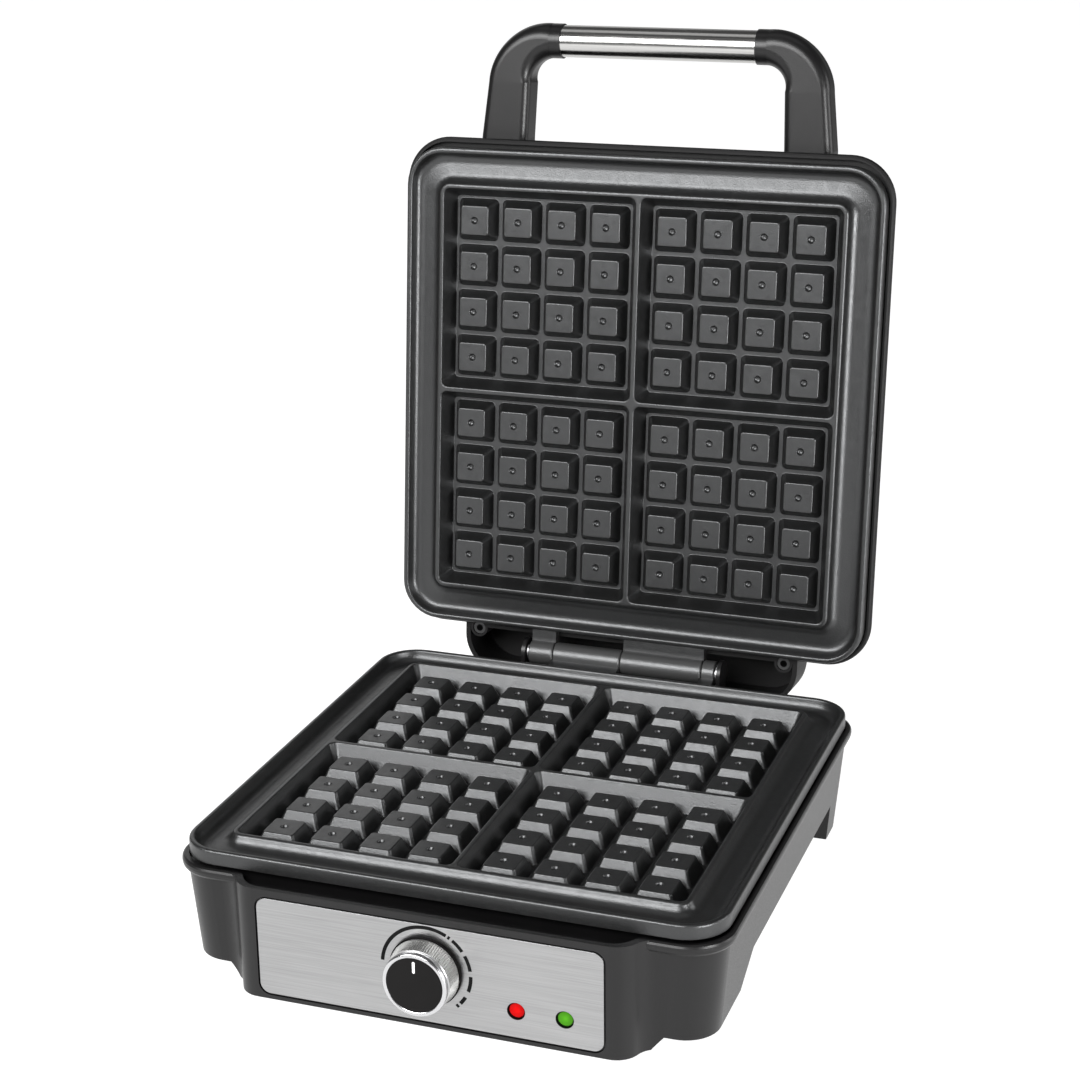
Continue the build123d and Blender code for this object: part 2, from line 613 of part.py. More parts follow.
def lamp_lens(x):
    """Domed lens through the panel, with its flange behind the front wall."""
    front = BULGE_Y + LAMP_SINK
    lens = along_y(LAMP_R, x, LAMP_Z, front, BULGE_BACK)
    lens = fillet(lens.edges().sort_by(Axis.Y)[0], LAMP_CROWN)
    return lens + along_y(LAMP_FLANGE_R, x, LAMP_Z, BULGE_BACK, BULGE_BACK + LAMP_FLANGE_T)


def lamp_holders():
    """Sleeves behind the lenses that hold the neon lamps."""
    front = BULGE_BACK + LAMP_FLANGE_T
    back = lamp_back() - NEON_TAIL
    sleeves = [along_y(LAMP_FLANGE_R, x, LAMP_Z, front, back)
               - along_y(NEON_R + LAMP_CLEARANCE, x, LAMP_Z, front - OVER, back + OVER)
               for x in (LAMP_RED_X, LAMP_GREEN_X)]
    return Compound(children=sleeves)


def lamp_back():
    """Rear end of the neon lamps, short of the base's own front wall."""
    return -WALL_HALF + WALL / 2 - LAMP_TAIL_GAP


def neon_lamps():
    front = BULGE_BACK + LAMP_FLANGE_T
    bulbs = [fillet(bulb.edges().sort_by(Axis.Y)[0], NEON_R / 2)
             for bulb in (along_y(NEON_R, x, LAMP_Z, front, lamp_back())
                          for x in (LAMP_RED_X, LAMP_GREEN_X))]
    return Compound(children=bulbs)


def bracket_back():
    return BULGE_BACK + BRACKET_SIZE[1]


def thermostat_bracket():
    """Strap on the inside of the front wall that carries the thermostat."""
    width, depth, height = BRACKET_SIZE
    strap = block(-width / 2, width / 2, BULGE_BACK, bracket_back(), KNOB_Z - height / 2, KNOB_Z + height / 2)
    strap -= along_y(SHAFT_HOLE_R, 0, KNOB_Z, BULGE_BACK - OVER, bracket_back() + OVER)
    return strap - [along_y(SCREW_R + SCREW_FIT, x, KNOB_Z, BULGE_BACK - OVER, bracket_back() + OVER)
                    for x in (-BRACKET_SCREW_X, BRACKET_SCREW_X)]


def thermostat_screws():
    """Two short screws from inside through the strap into the front wall."""
    tip = BULGE_BACK - WALL / 2 + SCREW_FIT
    return Compound(children=[
        along_y(SCREW_R, x, KNOB_Z, tip, bracket_back())
        + along_y(SCREW_HEAD_R, x, KNOB_Z, bracket_back(), bracket_back() + SCREW_HEAD_T)
        for x in (-BRACKET_SCREW_X, BRACKET_SCREW_X)])


def thermostat_body():
    """Ceramic body behind the strap, bored for the turning shaft."""
    width, depth, height = THERMOSTAT_SIZE
    front = bracket_back()
    body = block(-width / 2, width / 2, front, front + depth, KNOB_Z - height / 2, KNOB_Z + height / 2)
    body = fillet(body.edges().filter_by(Axis.Y), THERMOSTAT_ROUND)
    bore_end = front + depth / 2 + SHAFT_CLEARANCE
    return body - along_y(SHAFT_R + SHAFT_CLEARANCE, 0, KNOB_Z, front - OVER, bore_end)


def knob_back():
    return BULGE_Y - KNOB_GAP


def thermostat_shaft():
    end = bracket_back() + THERMOSTAT_SIZE[1] / 2
    return along_y(SHAFT_R, 0, KNOB_Z, knob_back() - SHAFT_GRIP, end)


def knob_sleeve():
    """Chrome sleeve: a slightly tapered ring round a hub that grips the shaft."""
    front = knob_back() - KNOB_LENGTH
    sleeve = cone_y(KNOB_FACE_R, KNOB_R, 0, KNOB_Z, front, knob_back() - KNOB_SKIRT_T)
    sleeve -= along_y(KNOB_FACE_R - KNOB_RIM, 0, KNOB_Z, front - OVER, front + KNOB_FACE_T)
    return sleeve - along_y(SHAFT_R + KNOB_FIT, 0, KNOB_Z, knob_back() - SHAFT_GRIP - KNOB_FIT, knob_back())


def knob_skirt():
    """Black ring behind the sleeve, next to the panel."""
    skirt = along_y(KNOB_SKIRT_R, 0, KNOB_Z, knob_back() - KNOB_SKIRT_T, knob_back())
    return skirt - along_y(SHAFT_R + KNOB_FIT, 0, KNOB_Z, knob_back() - KNOB_LENGTH, knob_back() + OVER)


def knob_face():
    """Black disc in the sleeve's front, with a slot for the pointer."""
    front = knob_back() - KNOB_LENGTH
    disc = along_y(KNOB_FACE_R - KNOB_RIM - KNOB_FIT, 0, KNOB_Z, front, front + KNOB_FACE_T)
    return disc - pointer_bar(KNOB_FIT, front - OVER, front + POINTER_T)


def pointer_bar(grow, y_front, y_back):
    """Rounded bar near the disc's upper edge."""
    length = POINTER_LENGTH + 2 * grow
    width = POINTER_WIDTH + 2 * grow
    z = KNOB_Z + KNOB_FACE_R - 2 * KNOB_RIM - POINTER_LENGTH / 2
    outline = Rot(0, 0, 90) * SlotOverall(length, width)
    return Pos(0, y_back, z) * Rot(90, 0, 0) * extrude(outline, y_back - y_front)


def knob_pointer():
    front = knob_back() - KNOB_LENGTH
    return pointer_bar(0, front, front + POINTER_T)


# Wiring fittings in the base
def terminal_block():
    """Screw terminal strip on the bottom cover."""
    width, depth, height = BLOCK_SIZE
    strip = block(BLOCK_X - width / 2, BLOCK_X + width / 2, BLOCK_Y - depth / 2, BLOCK_Y + depth / 2,
                  COVER_Z, COVER_Z + height)
    pitch = width / BLOCK_WAYS
    ways = [BLOCK_X + (i - (BLOCK_WAYS - 1) / 2) * pitch for i in range(BLOCK_WAYS)]
    strip -= [along_y(pitch / 4, x, COVER_Z + height / 3, BLOCK_Y - depth, BLOCK_Y + depth) for x in ways]
    return strip - [upright(pitch / 4, x, BLOCK_Y, COVER_Z + 3 * height / 4, COVER_Z + height + OVER)
                    for x in ways]


def thermal_fuse():
    """Fuse strapped under the lower heat shield."""
    low = PAN_Z - SHIELD_DEPTH
    z = low - FUSE_R
    strap_r = FUSE_R + FUSE_STRAP_T
    half = FUSE_STRAP_WIDTH / 2
    strap = block(-half, half, FUSE_Y - strap_r, FUSE_Y + strap_r, z - strap_r, low)
    strap += block(-half, half, FUSE_Y - strap_r - FUSE_STRAP_FOOT, FUSE_Y + strap_r + FUSE_STRAP_FOOT,
                   low - FUSE_STRAP_T, low)
    return strap + along_x(FUSE_R, -FUSE_LENGTH, FUSE_LENGTH, FUSE_Y, z)


# Hinge hardware
def hinge_pin():
    end = KNUCKLE_EDGES[-1] + PIN_TAIL
    pin = along_x(PIN_R, -end, end, HINGE_Y, HINGE_Z)
    for side in (-1, 1):
        left, right = clip_span(side)
        pin -= along_x(PIN_R + OVER, left, right, HINGE_Y, HINGE_Z) - along_x(
            PIN_R - CLIP_GROOVE, left - OVER, right + OVER, HINGE_Y, HINGE_Z)
    return pin


def clip_span(side):
    """Groove for a retaining clip just outside the end barrel."""
    near = side * (KNUCKLE_EDGES[-1] + CLIP_CLEARANCE)
    far = near + side * (CLIP_T + CLIP_CLEARANCE)
    return min(near, far), max(near, far)


def pin_clips():
    """Open rings snapped into the pin's two grooves."""
    clips = []
    for side in (-1, 1):
        left, right = clip_span(side)
        left += CLIP_CLEARANCE / 2
        right -= CLIP_CLEARANCE / 2
        ring = along_x(CLIP_R, left, right, HINGE_Y, HINGE_Z)
        ring -= along_x(PIN_R - CLIP_GROOVE + CLIP_CLEARANCE / 2, left - OVER, right + OVER, HINGE_Y, HINGE_Z)
        mouth = PIN_R - CLIP_GROOVE
        ring -= block(left - OVER, right + OVER, HINGE_Y - mouth, HINGE_Y + mouth,
                      HINGE_Z, HINGE_Z + 2 * CLIP_R)
        clips.append(ring)
    return Compound(children=clips)


# Lid
def lid_stack(inset):
    """Wall and dome of the lid, face up, drawn in by inset."""
    wall_low = LIP_Z - LID_WALL_HEIGHT
    shoulder = WALL_HALF - LID_WALL_LEAN
    corner = LID_CORNER - LID_WALL_LEAN
    over = LIP_HEIGHT if inset else 0
    wall = turned(shoulder - inset, corner - inset / 2, wall_low, WALL_HALF - inset, LIP_Z, over, LID_FRONT)
    dome_half = shoulder - LID_DOME_RUN
    dome_corner = corner - LID_DOME_RUN / 2 - inset / 2
    dome = turned(dome_half - inset, dome_corner, LID_TOP + inset, shoulder - inset, wall_low, 0, LID_FRONT)
    return wall, dome


def lid_outside():
    wall, dome = lid_stack(0)
    body = wall + dome
    low_edges = body.edges().group_by(Axis.Z)[0]
    body = fillet(low_edges, LID_ROUND)
    return body + rim_solid(LID_CORNER, LID_FRONT)


def hinge_cover_solid(inset):
    """Rear of the lid that reaches over the hinge, with round corners."""
    rear = WALL_HALF + COVER_REACH
    depth = 2 * COVER_CORNER + COVER_REACH
    outline = RectangleRounded(2 * (COVER_HALF - inset), depth - inset, COVER_CORNER - inset)
    low = RIM_Z - COVER_HEIGHT + inset
    height = COVER_HEIGHT - inset + (OVER if inset else 0)
    return Pos(0, rear - inset - (depth - inset) / 2, low) * extrude(outline, height)


def ear_y():
    return PLATE_HALF + EAR_OFFSET


def lid_housing():
    cover = hinge_cover_solid(0)
    cover = fillet(cover.edges().group_by(Axis.Z)[0], COVER_ROUND)
    outside = lid_outside()
    body = outside + cover
    hollow = hinge_cover_solid(WALL) & block(-LIP_HALF, LIP_HALF, LIP_HALF + WALL / 2, 2 * LIP_HALF,
                                             LID_TOP, RIM_Z + 2 * OVER)
    ear_low = RIM_Z - COVER_HEIGHT + WALL / 2
    ears = [(side * EAR_X, ear_y()) for side in (-1, 1)]
    hollow -= [upright(EAR_R, x, y, ear_low, RIM_Z + 2 * OVER) for x, y in ears]
    body -= hollow
    body -= deck_recess(LID_FRONT)
    wall, dome = lid_stack(WALL)
    reach = LIP_HALF + LID_FRONT
    body -= (dome + wall) & block(-reach, reach, -reach, reach, LID_TOP, DECK_LOW)
    body += lid_posts(outside)
    body -= [upright(EAR_RECESS_R, x, y, RIM_Z - EAR_RECESS, RIM_Z + OVER) for x, y in ears]
    body -= [upright(SCREW_R + SCREW_FIT, x, y, RIM_Z - EAR_RECESS - SCREW_BITE - SCREW_FIT, RIM_Z)
             for x, y in ears]
    body -= [upright(SCREW_R + SCREW_FIT, x, y, DECK_LOW - OVER, DECK_Z + OVER)
             for x, y in plate_screw_places()]
    body -= [arm_opening(side) for side in (-1, 1)]
    return body - [upright(SCREW_R + SCREW_FIT, x, y, arm_low() - SCREW_BITE - SCREW_FIT, arm_low() + OVER)
                   for x, y in handle_screw_places()]


def arm_low():
    """The arm's face towards the lid's top."""
    return ARM_Z - ARM_DEPTH / 2


def handle_screw_places():
    y = ARM_ROOT_Y + ARM_SEAT / 2 - ARM_FIT
    return [(side * (arm_root_x() + offset), y)
            for side in (-1, 1) for offset in (-ARM_WIDTH / 4, ARM_WIDTH / 4)]


def arm_root_x():
    """The arms stand a little further apart at the lid than at the bend."""
    return ARM_X + ARM_SPLAY


def lid_posts(outside):
    """Seats inside the lid for the handle's two arms."""
    half_width = ARM_WIDTH / 2
    return [outside & block(x - half_width, x + half_width, -WALL_HALF - LID_FRONT, ARM_ROOT_Y,
                            LID_TOP, arm_low())
            for x in (-arm_root_x(), arm_root_x())]


def arm_opening(side):
    """Hole in the lid's front wall that the arm's root passes through."""
    half_width = ARM_WIDTH / 2 + ARM_FIT
    half_depth = ARM_DEPTH / 2
    x = side * arm_root_x()
    return block(x - half_width, x + half_width, -LIP_HALF - LID_FRONT, ARM_ROOT_Y + ARM_FIT,
                 ARM_Z - half_depth, ARM_Z + half_depth + ARM_FIT)


def ear_screws():
    """Screws sunk in the two round bosses at the lid's hinge end."""
    seat = RIM_Z - EAR_RECESS
    return Compound(children=[screw(side * EAR_X, ear_y(), seat, seat - SCREW_BITE)
                              for side in (-1, 1)])


def plate_screws():
    """Screws from under the deck into the plate's bosses."""
    return Compound(children=[screw(x, y, DECK_LOW, plate_screw_tip()) for x, y in plate_screw_places()])


def cover_screws():
    return Compound(children=[screw(x, y, COVER_Z - COVER_T, COVER_Z + SCREW_BITE) for x, y in post_places()])


# Handle
def arm_section(y, x, angle, width, depth, corner):
    """Rounded section square to the arm's centre line, which turns by angle towards the middle."""
    plane = Plane(origin=(x, y, ARM_Z), x_dir=(math.cos(angle), -math.sin(angle), 0),
                  z_dir=(-math.sin(angle), -math.cos(angle), 0))
    return plane * RectangleRounded(width, depth, corner)


def handle_arm(side):
    """Moulded arm: a tapering upright, a quarter bend, and a round stub that plugs into the tube."""
    bend_y = TUBE_Y + ARM_BEND
    centre_x = ARM_X - ARM_BEND
    seat_y = -(LIP_HALF + LID_FRONT)
    upright_part = loft([arm_section(ARM_ROOT_Y, arm_root_x(), 0, ARM_WIDTH, ARM_DEPTH, ARM_CORNER),
                         arm_section(seat_y, arm_root_x(), 0, ARM_WIDTH, ARM_DEPTH, ARM_CORNER),
                         arm_section(bend_y, ARM_X, 0, ARM_NECK, ARM_DEPTH, ARM_CORNER)], ruled=True)
    steps = 3
    bend = []
    for i in range(steps + 1):
        share = i / steps
        angle = share * math.pi / 2
        x = centre_x + ARM_BEND * math.cos(angle)
        y = bend_y - ARM_BEND * math.sin(angle)
        width = ARM_NECK + (ARM_TOP_D - ARM_NECK) * share
        corner = ARM_CORNER + (ARM_TOP_D / 2 - OVER / 2 - ARM_CORNER) * share
        depth = ARM_DEPTH + (ARM_TOP_D - ARM_DEPTH) * share
        bend.append(arm_section(y, x, angle, width, depth, corner))
    arm = upright_part + loft(bend)
    arm += along_x(ARM_TOP_D / 2, TUBE_HALF, centre_x, TUBE_Y, ARM_Z)
    arm += along_x(TUBE_R - TUBE_WALL - TUBE_FIT, TUBE_HALF - TUBE_PLUG, TUBE_HALF, TUBE_Y, ARM_Z)
    rod_end = TUBE_HALF + ROD_SEAT + ROD_FIT
    arm -= along_x(ROD_R + ROD_FIT, TUBE_HALF - TUBE_PLUG - OVER, rod_end, TUBE_Y, ARM_Z)
    arm -= [upright(SCREW_R + SCREW_FIT, x, y, arm_low() - OVER, ARM_Z + ARM_DEPTH)
            for x, y in handle_screw_places() if x > 0]
    return arm if side > 0 else mirror(arm, about=Plane.YZ)


def handle_tube():
    tube = along_x(TUBE_R, -TUBE_HALF, TUBE_HALF, TUBE_Y, ARM_Z)
    return tube - along_x(TUBE_R - TUBE_WALL, -TUBE_HALF - OVER, TUBE_HALF + OVER, TUBE_Y, ARM_Z)


def handle_rod():
    end = TUBE_HALF + ROD_SEAT
    return along_x(ROD_R, -end, end, TUBE_Y, ARM_Z)


def handle_screws():
    top = ARM_Z + ARM_DEPTH / 2
    return Compound(children=[screw(x, y, top, arm_low() - SCREW_BITE) for x, y in handle_screw_places()])


# The whole appliance
casting = plate_casting()
feet = rubber_feet()
base_parts = {
    "base_housing": base_housing(),
    "base_bottom_cover": bottom_cover(),
    "lower_plate": casting + knuckles(1, 1, HINGE_Z),
    "lower_heating_element": heating_element(),
    "lower_element_clamps": element_clamps(),
    "lower_heat_shield": heat_shield(),
    "lower_plate_screws": plate_screws(),
    "front_panel": front_panel(),
    "red_lamp_lens": lamp_lens(LAMP_RED_X),
    "green_lamp_lens": lamp_lens(LAMP_GREEN_X),
    "lamp_holders": lamp_holders(),
    "neon_lamps": neon_lamps(),
    "thermostat_body": thermostat_body(),
    "thermostat_bracket": thermostat_bracket(),
    "thermostat_screws": thermostat_screws(),
    "terminal_block": terminal_block(),
    "thermal_fuse": thermal_fuse(),
    "cord_inlet_bush": inlet_bush(),
    "front_rubber_feet": Compound(children=feet[:2]),
    "rear_rubber_feet": Compound(children=feet[2:]),
    "bottom_cover_screws": cover_screws(),
    "hinge_pin": hinge_pin(),
    "hinge_pin_clips": pin_clips(),
    "thermostat_shaft": thermostat_shaft(),
    "knob_sleeve": knob_sleeve(),
    "knob_skirt": knob_skirt(),
    "knob_face": knob_face(),
    "knob_pointer": knob_pointer(),
}
lid_parts = {
    "lid_housing": lid_housing(),
    "upper_plate": casting + knuckles(0, -1, LID_HINGE_Z),
    "upper_heating_element": heating_element(),
    "upper_element_clamps": element_clamps(),
    "upper_heat_shield": heat_shield(),
    "upper_plate_screws": plate_screws(),
    "lid_ear_screws": ear_screws(),
    "handle_left_arm": handle_arm(1),
    "handle_right_arm": handle_arm(-1),
    "handle_tube": handle_tube(),
    "handle_rod": handle_rod(),
    "handle_screws": handle_screws(),
}

# The lid is turned over to face the lower plate, then swung open about the hinge
face_to_face = Pos(0, 0, 2 * MEETING_Z) * Rot(0, 180, 0)
swing = Pos(0, HINGE_Y, HINGE_Z) * Rot(-OPEN_ANGLE, 0, 0) * Pos(0, -HINGE_Y, -HINGE_Z)
nodes = dict(base_parts)
nodes.update({name: swing * face_to_face * piece for name, piece in lid_parts.items()})

# The origin is the middle of the whole object's box, at the surface it stands on
boxes = [piece.bounding_box() for piece in nodes.values()]
front_y = min(box.min.Y for box in boxes)
rear_y = max(box.max.Y for box in boxes)
to_origin = Pos(0, -(front_y + rear_y) / 2, FOOT_DROP - FLOOR_Z)

os.makedirs("parts", exist_ok=True)
for name, piece in nodes.items():
    export_step(to_origin * piece, f"parts/{name}.step")
print("hinge axis", tuple((to_origin * Pos(0, HINGE_Y, HINGE_Z)).position))
print("knob axis", tuple((to_origin * Pos(0, BULGE_Y, KNOB_Z)).position))
print("block tops", tuple(to_origin.position))
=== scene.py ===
import json
import math

import bmesh
import bpy
from mathutils import Matrix, Vector


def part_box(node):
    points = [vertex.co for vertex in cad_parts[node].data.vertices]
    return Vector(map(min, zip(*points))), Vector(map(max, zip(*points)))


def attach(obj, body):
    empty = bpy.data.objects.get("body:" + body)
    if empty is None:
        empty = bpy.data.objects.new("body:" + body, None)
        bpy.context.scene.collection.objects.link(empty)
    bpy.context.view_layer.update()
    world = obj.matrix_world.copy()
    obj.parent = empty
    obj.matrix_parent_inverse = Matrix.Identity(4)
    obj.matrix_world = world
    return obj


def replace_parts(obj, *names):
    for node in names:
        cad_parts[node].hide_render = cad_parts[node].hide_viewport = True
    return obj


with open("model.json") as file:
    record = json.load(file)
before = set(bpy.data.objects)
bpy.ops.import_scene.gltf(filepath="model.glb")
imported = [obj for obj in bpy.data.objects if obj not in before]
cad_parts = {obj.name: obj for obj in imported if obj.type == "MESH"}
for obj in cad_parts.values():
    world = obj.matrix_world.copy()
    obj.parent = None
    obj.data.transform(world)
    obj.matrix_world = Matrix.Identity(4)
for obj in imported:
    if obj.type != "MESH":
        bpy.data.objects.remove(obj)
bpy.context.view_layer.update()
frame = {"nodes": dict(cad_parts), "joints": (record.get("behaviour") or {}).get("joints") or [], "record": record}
nodes = frame["nodes"]
joints = {joint["name"]: joint for joint in frame["joints"]}

# Lengths on the part are in millimetres; the frame, the floor and the lights are in metres
MM = 0.001

# Waffle plates, on their own axes: Z = 0 at the block tops, Y towards the hinge
BLOCK_PITCH = 24.0
BLOCK_ROWS = 4
BLOCK_FOOT = 10.9
BLOCK_TOP = 7.45
BLOCK_HEIGHT = 7.5
BLOCK_FOOT_CORNER = 2.4
BLOCK_TOP_CORNER = 1.3
BLOCK_EDGE = 0.8
DIMPLE = ((2.0, 0.0), (1.87, -0.1), (1.7, -0.45), (1.45, -0.9), (1.0, -1.25), (0.4, -1.4))
POCKET_CENTRE = 53.65
POCKET_FLOOR = 48.3
POCKET_MOUTH = 52.55
POCKET_FLOOR_CORNER = 2.0
POCKET_MOUTH_CORNER = 3.6
POCKET_EDGE = 0.8
FLOOR_EDGE = 0.4
RIDGE_RISE = 2.5
RIDGE_FLAT = 1.15
RIDGE_HALF = 108.2
RIDGE_CREST = 1.8
RIDGE_SWEEP = 6.0
RIDGE_CORNER = 7.7
GUTTER_INNER = 110.4
GUTTER_INNER_Z = -2.0
GUTTER_OUTER = 122.4
GUTTER_OUTER_Z = -3.7
GUTTER_ROUND = 5.0
BEAD_INNER = 124.2
BEAD_INNER_EDGE = 1.3
BEAD_OUTER_EDGE = 1.6
PLATE_HALF = 126.9
PLATE_CORNER = 20.0
SKIRT_Z = -4.5
SKIRT_EDGE = 0.4
PAN_Z = -10.5
PAN_HALF = 112.2
PAN_DRAFT = 2.2

# Hinge barrels along X; the web sinks into the plate and stays inside its edge above and below
KNUCKLE_EDGES = (-51.7, -38.0, -0.4, 44.2, 51.7)
KNUCKLE_GAP = 0.4
KNUCKLE_R = 6.5
KNUCKLE_BEVEL = 0.6
WEB_SINK = 1.6
WEB_DROP = 1.2
WEB_LIFT = 0.4
BORE_R = 3.05
HINGE_Y = 139.1
HINGE_Z = 3.5
MEETING_Z = 2.8
LID_HINGE_Z = 2 * MEETING_Z - HINGE_Z
OPEN_ANGLE = math.radians(96.2)

# Knob, measured outwards from the panel's face; outlines are (radius, out) points
KNOB_SWELL = 1.04
KNURL_COUNT = 92
KNURL_DEPTH = 0.4
KNURL_END = 10.5
FACE_OUT = 13.95
FACE_R = 12.5
POINTER_OUT = 11.0
POINTER_IN = 5.6
POINTER_WIDTH = 1.2
POINTER_SINK = 0.4
POINTER_PROUD = 0.05
SLEEVE = ((12.55, 12.8), (12.55, 13.9), (12.8, 14.12), (13.3, 14.2), (13.85, 14.1), (14.2, 13.8),
          (14.34, 13.3), (14.37, 12.2), (14.25, 11.3), (13.9, 10.9), (13.9, 10.6), (14.45, 10.4),
          (14.55, 10.1), (15.5, 2.6), (15.35, 2.25), (3.05, 2.25))
SLEEVE_TEETH = (12, 13)
SKIRT = ((3.05, 2.2), (15.75, 2.2), (15.95, 2.05), (16.0, 1.75), (16.0, 0.9), (15.8, 0.6), (3.05, 0.6))
FACE = ((0.4, FACE_OUT), (11.4, FACE_OUT), (12.1, 13.9), (12.45, 13.75), (FACE_R, 13.5), (FACE_R, 12.7),
        (0.4, 12.7))

# Steps on round stretches, and the angle under which faces are shaded as one
EDGE_STEPS = 4
SECTION_STEPS = 8
BLOCK_CORNER_STEPS = 3
POCKET_CORNER_STEPS = 6
PLATE_CORNER_STEPS = 9
BARREL_STEPS = 24
POINTER_END_STEPS = 8
KNOB_STEPS = 96
SMOOTH_ANGLE = math.radians(35)

# Looks by place: screw heads with a painted socket shade, lamp lenses with a painted rim shade, the knob's ring,
# and the grain that starts behind the lid's rim
SCREW_HEAD_R = 3.4
LENS_R = 4.1
KNOB_RING_OUT = 4.0
KNOB_LOOK_BLEND = 0.2
LID_GRAIN_FROM = 3.0
LID_GRAIN_TO = 6.0
BARREL_LOOK_FULL = KNUCKLE_R + 0.5
BARREL_LOOK_END = KNUCKLE_R + 2.0

# Printed scale on the panel: radius, line width, and arcs in degrees clockwise from the top
SCALE_R = 20.5
SCALE_WIDTH = 1.7
SCALE_ARCS = ((-86, 27.5), (30, 33.2), (37, 55), (61, 82), (89, 110.5), (119.5, 131.2), (134.6, 138.2))
SCALE_INK = (0.012, 0.012, 0.012, 1)
# Painted shade on the panel's cut edges and hole walls, by how far their faces turn from the front
PANEL_EDGE_SHADE = (0.09, 0.09, 0.09, 1)
PANEL_FACING_FRONT = -0.95
PANEL_FACING_ASIDE = -0.8

# Tones are linear, texture scales are per metre, and depths of relief are in metres
BLACK = (0.004, 0.0038, 0.004)
BLACK_ROUGHNESS = 0.34
BLACK_SHINE = 0.43
PLAIN_SHINE = 0.5
LID_GRAIN_ROUGHER = 0.22
LID_GRAIN_SHINE = 0.28
FACE_SHINE = 0.13
RING_SHINE = 0.02
COAT = (0.02, 0.02, 0.021)
COAT_SHINE = 0.86
COAT_SHEEN = (0.97, 0.985, 1.0, 1)
COAT_ROUGHNESS = 0.36
COAT_UNEVEN = 0.04
COAT_PATCHES = 300.0
COAT_PEBBLES = 1500.0
COAT_RELIEF = 0.42
COAT_RELIEF_DEPTH = 0.0002
FLECK_SCALE = 1700.0
FLECK_TONES = ((0.0, 0.08), (0.18, 0.014), (0.32, 0.006))
BARREL_COAT = (0.035, 0.035, 0.035, 1)
CLOUD_SCALE = 40.0
CLOUD_PALER = 1.35
GRAIN_SCALE = 1800.0
GRAIN_DETAIL = 2.0
GRAIN_RELIEF = 0.1
GRAIN_RELIEF_DEPTH = 0.0001
BRUSH_SCALE = 2500.0
BRUSH_ALONG_X = (0.01, 1, 1)
CAST_SCALE = 900.0
METAL_DETAIL = 6.0
METAL_NOISE = 0.6
METAL_PALER = 1.12
METAL_DARKER = 0.86
METAL_RELIEF = 0.15
METAL_RELIEF_DEPTH = 0.00005
TUBE_RELIEF = 0.006
# Painted shade: how much darker the middle of a screw head is painted, as a socket's hollow
SOCKET_SHADE = 0.03
SOCKET_EDGE = (0.5, 0.58)
LENS_SHINE = 0.1
LENS_GLOW = 0.2
LENS_DEEP = 0.7
# Painted shade: the lens's tone at its rim, standing in for the shade of the panel's recess round it
LENS_RIM_SHADE = 0.06
RIM_ROUGHNESS = 0.2
KNURL_ROUGHNESS = 0.45
GLASS_CLEARNESS = 0.7
GLASS_SCALE = 500.0

# Studio: the camera's place is on the lower plate's axes; in mirrors the floor is bright near the part only
CAMERA_PLACE = (351.13, -958.75, 474.35)
CAMERA_TURN = (70.588, 0.907, 20.104)
CAMERA_LENS = 77.9
CAMERA_SENSOR = 36.0
CAMERA_SHIFT = (0.01906, 0.00776)
FLOOR_HALF = 6.0
FLOOR_TONE = (0.3, 0.3, 0.3)
FLOOR_ROUGHNESS = 0.9
FLOOR_SEEN = 0.94
FLOOR_MIRRORED = 0.85
FLOOR_NEAR = 1.2
FLOOR_FAR = 2.4
WALL_LIGHT = 0.14
WALL_TOP = 0.35
CEILING_LIGHT = 0.085
CEILING_EDGE = 0.8
BACK_GLOW = 1.0
BACK_GLOW_TOWARDS = (-0.578, 0.740, 0.342)
BACK_GLOW_INNER = 0.974
BACK_GLOW_OUTER = 0.906
WHITE = (1, 1, 1, 1)

# Sockets of a mix node that blends colours
MIX_SHARE, MIX_FIRST, MIX_SECOND, MIX_RESULT = 0, 6, 7, 2

# The plate's axes in the row frame: the lower plate sits level, the upper one faces it and is swung open
hinge = Vector(joints["lid_hinge"]["pos_m"])
LOWER = Matrix.Translation(hinge - Vector((0, HINGE_Y, HINGE_Z)) * MM) @ Matrix.Scale(MM, 4)
SWING = Matrix.Translation(hinge) @ Matrix.Rotation(-OPEN_ANGLE, 4, "X") @ Matrix.Translation(-hinge)
FACE_DOWN = Matrix.Translation((0, 0, 2 * MEETING_Z)) @ Matrix.Rotation(math.pi, 4, "Y")
UPPER = SWING @ LOWER @ FACE_DOWN
knob_axis = Vector(joints["knob_turn"]["pos_m"])
KNOB = (Matrix.Translation(knob_axis) @ Matrix.Scale(MM, 4) @ Matrix.Rotation(math.pi / 2, 4, "X")
        @ Matrix.Diagonal((KNOB_SWELL, KNOB_SWELL, 1, 1)))


# Shapes
def soften(points, steps):
    """Rounds each corner of an open outline of (across, up, radius) points."""
    outline = [Vector(points[0][:2])]
    for before, corner, after in zip(points, points[1:], points[2:]):
        here = Vector(corner[:2])
        to_before = (Vector(before[:2]) - here).normalized()
        to_after = (Vector(after[:2]) - here).normalized()
        if corner[2] == 0:
            outline.append(here)
            continue
        half_turn = to_before.angle(to_after) / 2
        length = corner[2] / math.tan(half_turn)
        start = here + to_before * length
        end = here + to_after * length
        for step in range(steps + 1):
            t = step / steps
            outline.append(start * (1 - t) ** 2 + here * 2 * t * (1 - t) + end * t ** 2)
    outline.append(Vector(points[-1][:2]))
    return outline


def square_ring(half, corner, z, steps, centre=(0, 0)):
    """Points of a rounded square, anticlockwise."""
    points = []
    for quarter in range(4):
        side_x = half - corner if quarter in (0, 3) else corner - half
        side_y = half - corner if quarter in (0, 1) else corner - half
        for step in range(steps + 1):
            angle = math.pi / 2 * (quarter + step / steps)
            points.append((centre[0] + side_x + corner * math.cos(angle),
                           centre[1] + side_y + corner * math.sin(angle), z))
    return points


def round_ring(radius, z, count, centre):
    """Points of a circle that pair with a square ring's points."""
    angles = [2 * math.pi * (i + 0.5) / count for i in range(count)]
    return [(centre[0] + radius * math.cos(a), centre[1] + radius * math.sin(a), z) for a in angles]


def add_ring(mesh, points):
    return [mesh.verts.new(point) for point in points]


